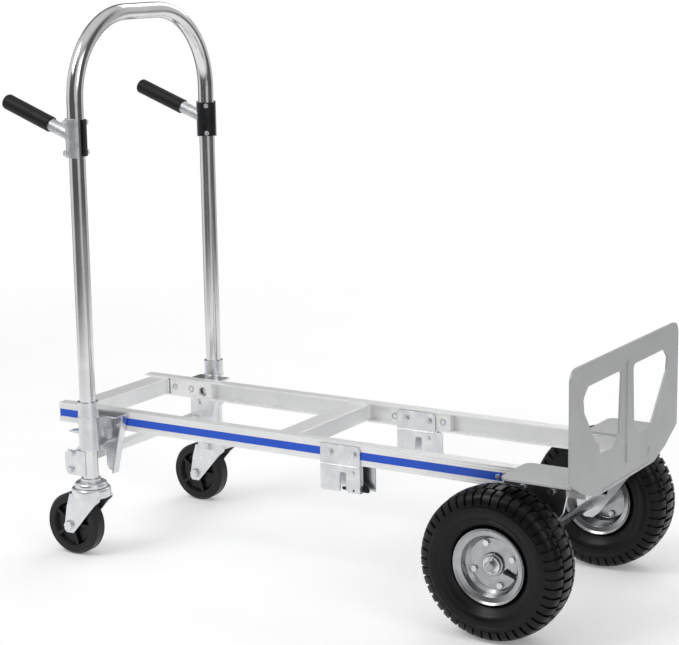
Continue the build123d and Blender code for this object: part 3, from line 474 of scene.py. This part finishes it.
FINISHES = {
    Slot.RAIL: MetalFinish(
        "rail_aluminium", (0.95, 0.952, 0.955, 1.0), (0.89, 0.895, 0.90, 1.0), 0.42, 0.12,
        (5.0, 950.0, 950.0), 0.00004, clouds=10.0, scuffs=0.18, metallic=0.45,
    ),
    Slot.POLISHED: MetalFinish(
        "polished_aluminium", (0.76, 0.76, 0.76, 1.0), (0.68, 0.68, 0.685, 1.0), 0.14, 0.06,
        (420.0, 420.0, 4.0), 0.00002, clouds=18.0, scuffs=0.25, edge_radius=0.0006,
    ),
    Slot.CAST: MetalFinish(
        "cast_aluminium", (0.66, 0.67, 0.69, 1.0), (0.50, 0.51, 0.53, 1.0), 0.46, 0.2,
        (300.0, 300.0, 300.0), 0.00028, clouds=60.0, scuffs=0.35, edge_radius=0.0016, pits=0.8,
    ),
    Slot.ZINC: MetalFinish(
        "zinc_steel", (0.76, 0.775, 0.79, 1.0), (0.67, 0.685, 0.705, 1.0), 0.30, 0.13,
        (130.0, 130.0, 130.0), 0.00005, clouds=32.0, scuffs=0.2, edge_radius=0.0012,
    ),
    Slot.NOSE: PaintFinish(
        "nose_paint", (0.46, 0.465, 0.47, 1.0), (0.40, 0.405, 0.41, 1.0),
        (0.86, 0.865, 0.87, 1.0), 0.42, 0.3,
    ),
    Slot.RIM: MetalFinish(
        "rim_steel", (0.44, 0.445, 0.45, 1.0), (0.36, 0.365, 0.375, 1.0), 0.22, 0.12,
        (220.0, 220.0, 220.0), 0.00006, clouds=40.0, scuffs=0.25,
    ),
    Slot.STRIPE: PlasticFinish(
        "blue_trim", (0.0, 0.085, 0.66, 1.0), (0.0, 0.068, 0.54, 1.0), 0.34,
        (6.0, 500.0, 500.0), 0.00005,
    ),
    Slot.NYLON: PlasticFinish(
        "nylon", (0.90, 0.90, 0.885, 1.0), (0.82, 0.82, 0.80, 1.0), 0.42,
        (90.0, 90.0, 90.0), 0.00008, subsurface=0.15,
    ),
    Slot.TYRE: RubberFinish(
        "tyre_rubber", (0.0015, 0.0015, 0.0017, 1.0), (0.006, 0.006, 0.0064, 1.0), 0.34, 0.4,
        700.0, 0.00014, 0.26,
    ),
    Slot.TUBE: RubberFinish(
        "tube_rubber", (0.013, 0.013, 0.013, 1.0), (0.04, 0.04, 0.04, 1.0), 0.6, 0.3,
        800.0, 0.0001,
    ),
    Slot.GRIP: RubberFinish(
        "grip_rubber", (0.0045, 0.0045, 0.005, 1.0), (0.018, 0.018, 0.019, 1.0), 0.5, 0.35,
        1100.0, 0.0002, 0.3,
    ),
    Slot.TREAD: RubberFinish(
        "caster_tread", (0.0045, 0.0045, 0.005, 1.0), (0.017, 0.017, 0.018, 1.0), 0.36, 0.4,
        500.0, 0.00008, 0.34,
    ),
    Slot.BLACK: MetalFinish(
        "black_steel", (0.014, 0.014, 0.016, 1.0), (0.024, 0.024, 0.027, 1.0), 0.40, 0.16,
        (200.0, 200.0, 200.0), 0.00006, clouds=50.0, scuffs=0.2, metallic=0.6,
    ),
}


class Dresser:
    """Hands out each finish once and puts it on CAD nodes and new pieces."""

    def __init__(self) -> None:
        """Start with no finish built."""
        self.built: dict[Slot, bpy.types.Material] = {}

    def material(self, slot: Slot) -> bpy.types.Material:
        """Finish of a slot, built on first use.

        Args:
            slot: Material slot.

        Returns:
            Its material.
        """
        if slot not in self.built:
            self.built[slot] = FINISHES[slot].build()
        return self.built[slot]

    def dress(self, slot: Slot, *names: str) -> None:
        """Put a slot's finish on CAD nodes.

        Args:
            slot: Material slot.
            names: CAD nodes that take it.
        """
        for name in names:
            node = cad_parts[name]
            if not node.material_slots:
                node.data.materials.append(self.material(slot))
            for place in node.material_slots:
                place.material = self.material(slot)
            LOG.info("dressed %s in %s", name, slot.value)


# ---- mesh helpers ---------------------------------------------------------------------------------


class Side(Enum):
    """The two sides of the truck, with the sign of Y on each."""

    RIGHT = -1
    LEFT = 1

    def node(self, piece: str) -> str:
        """Name of this side's CAD node or body.

        Args:
            piece: Name of the piece.

        Returns:
            The full name.
        """
        return f"{self.name.lower()}_{piece}"


def make_piece(
    name: str,
    mesh: bmesh.types.BMesh,
    body: str,
    slot: Slot,
    dresser: Dresser,
    sharp: float = 35.0,
) -> bpy.types.Object:
    """Turn a bmesh into a finished piece that rides on a body.

    Args:
        name: Name of the piece.
        mesh: Its shape, in the row frame; it is freed here.
        body: CAD body that it rides on.
        slot: Its material slot.
        dresser: Source of finishes.
        sharp: Edges that turn by more than this, in degrees, stay sharp.

    Returns:
        The new object.
    """
    bmesh.ops.recalc_face_normals(mesh, faces=mesh.faces)
    data = bpy.data.meshes.new(name)
    mesh.to_mesh(data)
    mesh.free()
    for polygon in data.polygons:
        polygon.use_smooth = True
    data.set_sharp_from_angle(angle=math.radians(sharp))
    piece = bpy.data.objects.new(name, data)
    bpy.context.scene.collection.objects.link(piece)
    data.materials.append(dresser.material(slot))
    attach(piece, body)
    LOG.info("built %s, %d faces", name, len(data.polygons))
    return piece


def grid_faces(mesh: bmesh.types.BMesh, rows: list[list[bmesh.types.BMVert]], wrap: bool) -> None:
    """Join rows of vertices with quads.

    Args:
        mesh: Mesh that the vertices belong to.
        rows: Rows of equal length.
        wrap: Whether the last row joins the first.
    """
    count = len(rows)
    for i in range(count if wrap else count - 1):
        here, after = rows[i], rows[(i + 1) % count]
        for j in range(len(here) - 1):
            mesh.faces.new((here[j], here[j + 1], after[j + 1], after[j]))


def tube_mesh(
    mesh: bmesh.types.BMesh, points: list[Vector], radii: list[float], sides: int = 10
) -> None:
    """Add a round closed tube along a line of points.

    Args:
        mesh: Mesh to add to.
        points: Middle of the tube.
        radii: Radius at each point.
        sides: Number of sides.
    """
    rings = []
    reference = Vector((0.31, 0.52, 0.79))
    for i, point in enumerate(points):
        before = points[max(i - 1, 0)]
        after = points[min(i + 1, len(points) - 1)]
        along = (after - before).normalized()
        across = along.cross(reference).normalized()
        upward = along.cross(across)
        ring = []
        for k in range(sides):
            turn = 2 * math.pi * k / sides
            offset = across * math.cos(turn) + upward * math.sin(turn)
            ring.append(mesh.verts.new(point + offset * radii[i]))
        ring.append(ring[0])
        rings.append(ring)
    grid_faces(mesh, rings, False)
    mesh.faces.new(rings[0][:-1])
    mesh.faces.new(rings[-1][:-1])


def weld_bead(mesh: bmesh.types.BMesh, start: Point, stop: Point, radius: float) -> None:
    """Add a rippled weld bead along a straight joint.

    Args:
        mesh: Mesh to add to.
        start: Where the bead starts.
        stop: Where it ends.
        radius: Its mean radius.
    """
    first, last = Vector(start), Vector(stop)
    length = (last - first).length
    steps = max(8, int(length / (radius * 0.45)))
    points = []
    radii = []
    for i in range(steps + 1):
        share = i / steps
        ripple = 1.0 + 0.16 * math.cos(2 * math.pi * share * steps / 3.0) + 0.06 * math.sin(5.3 * i)
        end = min(1.0, 6.0 * min(share, 1.0 - share) + 0.35)
        points.append(first.lerp(last, share))
        radii.append(radius * ripple * end)
    tube_mesh(mesh, points, radii)


def ring_bead(
    mesh: bmesh.types.BMesh, centre: Vector, radius: float, bead: float, normal: Vector
) -> None:
    """Add a closed rippled bead round a circle.

    Args:
        mesh: Mesh to add to.
        centre: Middle of the circle.
        radius: Radius of the circle.
        bead: Radius of the bead.
        normal: Axis of the circle.
    """
    across = normal.orthogonal().normalized()
    upward = normal.cross(across).normalized()
    rings = []
    for i in range(RING_STEPS):
        turn = 2 * math.pi * i / RING_STEPS
        out = across * math.cos(turn) + upward * math.sin(turn)
        size = bead * (1.0 + 0.14 * math.cos(turn * RING_STEPS / 3.0))
        ring = []
        for k in range(RING_SIDES):
            angle = 2 * math.pi * k / RING_SIDES
            offset = out * math.cos(angle) + normal * math.sin(angle)
            ring.append(mesh.verts.new(centre + out * radius + offset * size))
        ring.append(ring[0])
        rings.append(ring)
    grid_faces(mesh, rings, True)


def pressed_rib(
    mesh: bmesh.types.BMesh,
    face_x: float,
    line: list[tuple[float, float]],
    width: float,
    rise: float,
) -> None:
    """Add a low rounded rib on a face that looks along +X.

    Args:
        mesh: Mesh to add to.
        face_x: X of the face.
        line: Middle of the rib, as (y, z) points.
        width: Its width.
        rise: Its height over the face.
    """
    rows = []
    for i, (y, z) in enumerate(line):
        before = line[max(i - 1, 0)]
        after = line[min(i + 1, len(line) - 1)]
        along = Vector((after[0] - before[0], after[1] - before[1])).normalized()
        end = 0.15 if i in (0, len(line) - 1) else 1.0
        row = []
        for k in range(RIB_STRIPS + 1):
            share = k / RIB_STRIPS * 2 - 1
            lift = rise * end * math.cos(share * math.pi / 2) ** 0.8
            offset = share * width / 2 * max(end, 0.5)
            row.append(mesh.verts.new((face_x + lift, y - along.y * offset, z + along.x * offset)))
        rows.append(row)
    grid_faces(mesh, rows, False)


# ---- platform frame -------------------------------------------------------------------------------


@dataclass
class PlatformFrame:
    """Rails, crossmembers, trim, inserts and the welds between them."""

    dresser: Dresser
    bead: float = 0.0016

    def dress(self) -> None:
        """Put the frame's finishes on its CAD nodes."""
        self.dresser.dress(Slot.RAIL, "right_rail", "left_rail")
        self.dresser.dress(Slot.RAIL, "end_crossmember", "mid_crossmember", "toe_crossmember")
        self.dresser.dress(Slot.STRIPE, "stripes")
        self.dresser.dress(Slot.NYLON, "end_inserts", "mid_inserts")
        self.dresser.dress(Slot.ZINC, "insert_screws", "frame_screws")

    def build(self) -> None:
        """Weld each crossmember to the rail flanges."""
        mesh = bmesh.new()
        for name in ("end_crossmember", "mid_crossmember", "toe_crossmember"):
            low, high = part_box(name)
            _, rail_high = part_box("right_rail")
            inner = abs(rail_high.y)
            for side in Side:
                y = side.value * inner
                for x in (low.x, high.x):
                    start = (x, y, low.z + 2 * MM)
                    stop = (x, y, high.z - 2 * MM)
                    weld_bead(mesh, start, stop, self.bead)
        make_piece("frame_welds", mesh, "chassis", Slot.RAIL, self.dresser)


@dataclass
class LatchBrackets:
    """Brackets under the rails that take the handle's brace in hand truck mode."""

    dresser: Dresser

    def dress(self) -> None:
        """Put the zinc plating on the brackets and their hardware."""
        self.dresser.dress(Slot.ZINC, "latch_outer_plates", "latch_bolts", "latch_pins")
        for side in Side:
            self.dresser.dress(Slot.ZINC, side.node("latch_inner_plate"))
            self.dresser.dress(Slot.BLACK, side.node("latch_hook"))
        self.dresser.dress(Slot.BLACK, "latch_springs")


# ---- nose plate -----------------------------------------------------------------------------------


@dataclass
class NosePlate:
    """Pressed toe plate with its stiffening ribs and the dimple below them."""

    dresser: Dresser
    rib_width: float = 11 * MM
    rib_rise: float = 1.9 * MM
    second_rib_y: float = 97 * MM
    second_rib_start: float = 8 * MM
    second_rib_length: float = 25 * MM
    sheet: float = 2 * MM
    rib_gap_top: float = 33 * MM
    rib_gap_foot: float = 55 * MM
    crease_half: float = 105 * MM
    crease_height: float = 4.5 * MM
    dimple_drop: float = 14 * MM

    def dress(self) -> None:
        """Put the paint on the plate."""
        self.dresser.dress(Slot.NOSE, "nose_plate")

    def build(self) -> None:
        """Add the rounded ribs and the dimple on the outer face."""
        low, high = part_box("nose_plate")
        face = high.x - self.sheet
        bottom = low.z
        mesh = bmesh.new()
        top_z, foot_z = high.z - self.rib_gap_top, bottom + self.rib_gap_foot
        middle = [(0.0, foot_z + (top_z - foot_z) * i / 24) for i in range(25)]
        pressed_rib(mesh, face, middle, self.rib_width, self.rib_rise)
        start, length = self.second_rib_start, self.second_rib_length
        short = [(self.second_rib_y, bottom + start + length * i / 8) for i in range(9)]
        pressed_rib(mesh, face, short, self.rib_width * 0.8, self.rib_rise * 0.8)
        half = self.crease_half
        crease = [(-half + 2 * half * i / 40, bottom + self.crease_height) for i in range(41)]
        pressed_rib(mesh, face, crease, 4.5 * MM, 0.9 * MM)
        dimple = Vector((face - 0.5 * MM, 0.0, foot_z - self.dimple_drop))
        ring_bead(mesh, dimple, 6 * MM, 1.5 * MM, Vector((1, 0, 0)))
        make_piece("nose_pressings", mesh, "chassis", Slot.NOSE, self.dresser)


# ---- axle and pneumatic wheels --------------------------------------------------------------------


@dataclass
class MainAxle:
    """Axle with its brackets, spacers, washers and pins."""

    dresser: Dresser

    def dress(self) -> None:
        """Put the plating on the axle's pieces."""
        self.dresser.dress(Slot.ZINC, "axle_bracket_bolts", "axle_washers", "cotter_pins", "axle_spacers")
        self.dresser.dress(Slot.ZINC, "right_axle_bracket", "left_axle_bracket")
        self.dresser.dress(Slot.RIM, "axle")


@dataclass
class PneumaticWheel:
    """Air tyre with blocky tread on a two-piece pressed rim."""

    side: Side
    dresser: Dresser
    lugs: int = 46
    groove_depth: float = 4.6 * MM
    groove_half_width: float = 0.12
    short_lug_depth: float = 1.6 * MM
    short_lug_radius: float = 113.5 * MM
    flank_reach: float = 42.5 * MM
    flank_share: float = 0.75

    def dress(self) -> None:
        """Put finishes on the rim, bearings, bolts and tube."""
        node = self.side.node
        self.dresser.dress(Slot.RIM, node("outer_rim"), node("inner_rim"))
        self.dresser.dress(Slot.ZINC, node("rim_bolts"))
        self.dresser.dress(Slot.BLACK, node("wheel_bearings"))
        self.dresser.dress(Slot.TUBE, node("inner_tube"))

    def section(self) -> list[tuple[float, float, float, float]]:
        """Tyre section from the outer bead over the tread to the inner bead.

        Returns:
            Rows of (radius, y, shoulder lug share, centre lug share), in metres.
        """
        half = [
            (56.5, 26.6, 0, 0), (66.0, 27.3, 0, 0), (69.0, 30.4, 0, 0), (73.0, 34.6, 0, 0),
            (78.0, 38.7, 0, 0), (82.0, 41.0, 0, 0), (83.0, 42.1, 0, 0), (84.5, 42.4, 0, 0),
            (85.6, 42.0, 0, 0), (90.0, 43.3, 0, 0), (96.0, 43.9, 0, 0), (99.6, 43.7, 0, 0),
            (100.2, 44.2, 0, 0), (101.6, 44.1, 0, 0), (102.2, 43.4, 0, 0), (105.0, 42.6, 0, 0),
            (107.0, 42.0, 0, 0), (108.0, 42.4, 0.9, 0), (112.0, 41.4, 1, 0), (117.0, 39.2, 1, 0),
            (121.5, 36.4, 1, 0), (124.6, 33.0, 1, 0), (126.4, 28.5, 1, 0), (127.5, 23.5, 1, 0),
            (127.9, 20.0, 1, 0), (128.0, 18.6, 1, 0), (124.6, 17.6, 0, 0), (124.8, 15.4, 0, 0),
            (128.5, 14.4, 0, 1), (129.2, 9.0, 0, 1), (129.7, 4.5, 0, 1),
        ]
        rows = [(r * MM, -y * MM, s, c) for r, y, s, c in half]
        rows.append((129.8 * MM, 0.0, 0, 1))
        rows += [(r * MM, y * MM, s, c) for r, y, s, c in half[::-1]]
        return rows

    def build(self) -> None:
        """Build the tyre with staggered shoulder and centre lugs."""
        low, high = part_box(self.side.node("tyre"))
        centre = (low + high) / 2
        phases = (0.0, 0.11, 0.15, 0.25, 0.35, 0.39, 0.5, 0.61, 0.65, 0.75, 0.85, 0.89)
        section = self.section()
        mesh = bmesh.new()
        columns = []
        for lug in range(self.lugs):
            for phase in phases:
                turn = 2 * math.pi * (lug + phase) / self.lugs
                shoulder_cut = 1.0 if min(phase, 1 - phase) < self.groove_half_width else 0.0
                centre_cut = 1.0 if abs(phase - 0.5) < self.groove_half_width else 0.0
                column = []
                for radius, y, shoulder, middle in section:
                    cut = self.groove_depth * (shoulder * shoulder_cut + middle * centre_cut)
                    if shoulder and radius < self.short_lug_radius and lug % 3 == 0:
                        cut = max(cut, self.short_lug_depth)
                    lean = min(1.0, abs(y) / self.flank_reach) ** 3 if shoulder else 0.0
                    reach = radius - cut * (1.0 - self.flank_share * lean)
                    inward = y - math.copysign(cut * self.flank_share * lean, y)
                    spot = (
                        centre.x + reach * math.cos(turn),
                        centre.y - inward * self.side.value,
                        centre.z + reach * math.sin(turn),
                    )
                    column.append(mesh.verts.new(spot))
                columns.append(column)
        grid_faces(mesh, columns, True)
        name = self.side.node("tyre_moulding")
        tyre = make_piece(name, mesh, self.side.node("wheel"), Slot.TYRE, self.dresser, 28.0)
        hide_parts(self.side.node("tyre"))


# ---- hinge, handle and grips ----------------------------------------------------------------------


@dataclass
class HingeSleeve:
    """Folded hinge arm with the welded sleeve that the handle slides in."""

    side: Side
    dresser: Dresser
    bead: float = 1.3 * MM
    tube_radius: float = 15 * MM
    flange_drop: float = 29 * MM
    weld_radius: float = 19.2 * MM

    def dress(self) -> None:
        """Put the plating on the arm."""
        self.dresser.dress(Slot.ZINC, self.side.node("hinge_sleeve"))

    def build(self) -> None:
        """Weld the sleeve to its arm all round."""
        loop_low, loop_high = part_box("handle_loop")
        _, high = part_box(self.side.node("hinge_sleeve"))
        leg_x = (loop_low.x + loop_high.x) / 2
        leg_y = loop_high.y - self.tube_radius
        flange = high.z - self.flange_drop
        mesh = bmesh.new()
        centre = Vector((leg_x, self.side.value * leg_y, flange))
        ring_bead(mesh, centre, self.weld_radius, self.bead, Vector((0, 0, 1)))
        name = self.side.node("sleeve_weld")
        make_piece(name, mesh, self.side.node("hinge"), Slot.ZINC, self.dresser)


@dataclass
class Handle:
    """Handle loop with its cross brace, brackets and bolts."""

    dresser: Dresser

    def dress(self) -> None:
        """Put finishes on the loop and its fittings."""
        self.dresser.dress(Slot.POLISHED, "handle_loop")
        self.dresser.dress(Slot.RAIL, "cross_brace")
        self.dresser.dress(Slot.ZINC, "right_brace_bracket", "left_brace_bracket", "brace_bolts")
        self.dresser.dress(Slot.BLACK, "clamp_caps")
        self.dresser.dress(Slot.ZINC, "clamp_bolts", "pivot_bolts")


@dataclass
class HandGrip:
    """Clamped casting on a leg with its rubber grip."""

    side: Side
    dresser: Dresser

    def dress(self) -> None:
        """Put finishes on the casting and the grip."""
        self.dresser.dress(Slot.CAST, self.side.node("grip_mount"))
        self.dresser.dress(Slot.GRIP, self.side.node("grip"))


# ---- casters --------------------------------------------------------------------------------------


@dataclass
class Caster:
    """Swivel caster at the foot of a leg."""

    side: Side
    dresser: Dresser
    balls: int = 22
    ball_radius: float = 1.7 * MM
    race_radius: float = 28.5 * MM
    race_gap: float = 0.3 * MM

    def dress(self) -> None:
        """Put finishes on the caster's pieces."""
        node = self.side.node
        self.dresser.dress(Slot.ZINC, node("caster_head"), node("caster_fork"), node("caster_axle"))
        self.dresser.dress(Slot.TREAD, node("caster_wheel"))

    def build(self) -> None:
        """Add the balls that show in the race between head and fork."""
        low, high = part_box(self.side.node("caster_head"))
        centre = (low + high) / 2
        _, fork_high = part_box(self.side.node("caster_fork"))
        mesh = bmesh.new()
        for i in range(self.balls):
            turn = 2 * math.pi * i / self.balls
            spot = Vector((
                centre.x + self.race_radius * math.cos(turn),
                centre.y + self.race_radius * math.sin(turn),
                fork_high.z + self.race_gap,
            ))
            place = Matrix.Translation(spot)
            bmesh.ops.create_icosphere(mesh, subdivisions=2, radius=self.ball_radius, matrix=place)
        make_piece(self.side.node("race_balls"), mesh, "handle", Slot.ZINC, self.dresser)


# ---- studio ---------------------------------------------------------------------------------------


@dataclass
class Studio:
    """Pale floor, soft lights and the camera."""

    floor_size: float = 14.0
    floor_fade: tuple[float, float] = (1.5, 3.4)
    camera_spot: Point = (1.78457, -2.86336, 1.12931)
    azimuth: float = 0.5537
    elevation: float = 0.1986
    roll: float = -0.0159
    focal: float = 1887.6
    focal_frame: float = 679.0
    sensor: float = 36.0
    floor_steps: int = 24

    def build_floor(self) -> None:
        """Lay a large pale floor that fades into the background far from the truck."""
        mesh = bmesh.new()
        half = self.floor_size / 2
        steps = self.floor_steps
        rows = []
        for i in range(steps + 1):
            y = -half + self.floor_size * i / steps
            rows.append([
                mesh.verts.new((-half + self.floor_size * j / steps, y, 0.0)) for j in range(steps + 1)
            ])
        grid_faces(mesh, rows, False)
        data = bpy.data.meshes.new("studio_floor")
        mesh.to_mesh(data)
        mesh.free()
        floor = bpy.data.objects.new("studio_floor", data)
        bpy.context.scene.collection.objects.link(floor)
        material, graph = new_material("studio_floor")
        speck = graph.noise((3.0, 3.0, 3.0), 3.0)
        tone = graph.mix(speck.ramp(0.2, 0.8), (0.92, 0.92, 0.925, 1.0), (0.945, 0.945, 0.945, 1.0))
        spot = graph.node("ShaderNodeTexCoord", output="Object")
        reach = graph.node("ShaderNodeVectorMath", {"operation": "LENGTH"}, {0: spot}, "Value")
        steady = {"Roughness": 0.9, "Emission Color": (1.0, 1.0, 1.0, 1.0), "Emission Strength": 0.22}
        varying = {"Base Color": tone, "Alpha": 1.0 - reach.ramp(*self.floor_fade)}
        surface("studio_floor", varying, steady, graph)
        data.materials.append(material)

    def build_world(self) -> None:
        """Light from all round, with soft bright panels at the sides and above."""
        world = bpy.data.worlds.new("studio")
        world.use_nodes = True
        bpy.context.scene.world = world
        graph = Graph(world.node_tree)
        direction = graph.node("ShaderNodeTexCoord", output="Generated")
        panels = [
            ((-0.95, -0.25, 0.15), 0.74, 0.92, 0.70),
            ((0.80, -0.55, 0.25), 0.86, 0.95, 0.62),
            ((0.25, 0.95, 0.20), 0.76, 0.94, 0.55),
            ((0.0, 0.0, 1.0), 0.45, 0.90, 0.62),
        ]
        light: Wire | float = 0.10
        for facing, low, high, gain in panels:
            target = tuple(Vector(facing).normalized())
            settings = {"operation": "DOT_PRODUCT"}
            share = graph.node("ShaderNodeVectorMath", settings, {0: direction, 1: target}, "Value")
            light = share.ramp(low, high) * gain + light
        soft = graph.node("ShaderNodeBackground", None, {"Color": (1.0, 1.0, 1.0, 1.0), "Strength": light})
        seen = graph.node("ShaderNodeBackground", None, {"Color": (1.0, 1.0, 1.0, 1.0), "Strength": 1.0})
        camera = graph.node("ShaderNodeLightPath", output="Is Camera Ray")
        both = graph.node("ShaderNodeMixShader", None, {0: camera, 1: soft, 2: seen})
        output = graph.tree.nodes.new("ShaderNodeOutputWorld")
        graph.tree.links.new(both.socket, output.inputs["Surface"])

    def area_light(self, name: str, spot: Point, target: Point, size: float, watts: float) -> None:
        """Hang one soft square light.

        Args:
            name: Name of the light.
            spot: Its place.
            target: Where it points.
            size: Edge length in metres.
            watts: Its power.
        """
        lamp = bpy.data.lights.new(name, "AREA")
        lamp.shape = "SQUARE"
        lamp.size = size
        lamp.energy = watts
        light = bpy.data.objects.new(name, lamp)
        light.location = spot
        light.rotation_euler = (Vector(target) - Vector(spot)).to_track_quat("-Z", "Y").to_euler()
        bpy.context.scene.collection.objects.link(light)

    def build_lights(self) -> None:
        """Hang the key light, the fill and the light from behind."""
        middle = (0.0, 0.0, 0.4)
        self.area_light("key", (-1.6, -2.6, 3.4), middle, 1.9, 50.0)
        self.area_light("fill", (3.2, -1.2, 2.2), middle, 1.8, 17.0)
        self.area_light("back", (-0.6, 3.2, 2.8), middle, 2.2, 26.0)

    def build_camera(self) -> None:
        """Place the camera at the viewing angle, without shift."""
        a, e, r = self.azimuth, self.elevation, self.roll
        right = Vector((math.cos(a), math.sin(a), 0.0))
        back = Vector((math.sin(a) * math.cos(e), -math.cos(a) * math.cos(e), math.sin(e)))
        upward = back.cross(right)
        turned_right = right * math.cos(r) + upward * math.sin(r)
        turned_up = upward * math.cos(r) - right * math.sin(r)
        data = bpy.data.cameras.new("camera")
        data.sensor_width = self.sensor
        data.lens = self.focal * self.sensor / self.focal_frame
        data.clip_end = 60.0
        camera = bpy.data.objects.new("camera", data)
        place = Matrix((turned_right, turned_up, back)).transposed().to_4x4()
        camera.matrix_world = Matrix.Translation(self.camera_spot) @ place
        bpy.context.scene.collection.objects.link(camera)
        bpy.context.scene.camera = camera

    def build(self) -> None:
        """Set up the whole studio."""
        self.build_floor()
        self.build_world()
        self.build_lights()
        self.build_camera()
        bpy.context.scene.view_settings.view_transform = "Standard"


def main() -> None:
    """Build and dress every sub-assembly in order, then set up the studio."""
    logging.basicConfig(level=logging.INFO, format="%(message)s")
    dresser = Dresser()
    platform = PlatformFrame(dresser)
    platform.dress()
    platform.build()
    LatchBrackets(dresser).dress()
    nose = NosePlate(dresser)
    nose.dress()
    nose.build()
    MainAxle(dresser).dress()
    handle = Handle(dresser)
    handle.dress()
    for side in Side:
        for assembly in (PneumaticWheel(side, dresser), HingeSleeve(side, dresser), Caster(side, dresser)):
            assembly.dress()
            assembly.build()
        HandGrip(side, dresser).dress()
    Studio().build()


if __name__ == "__main__":
    main()
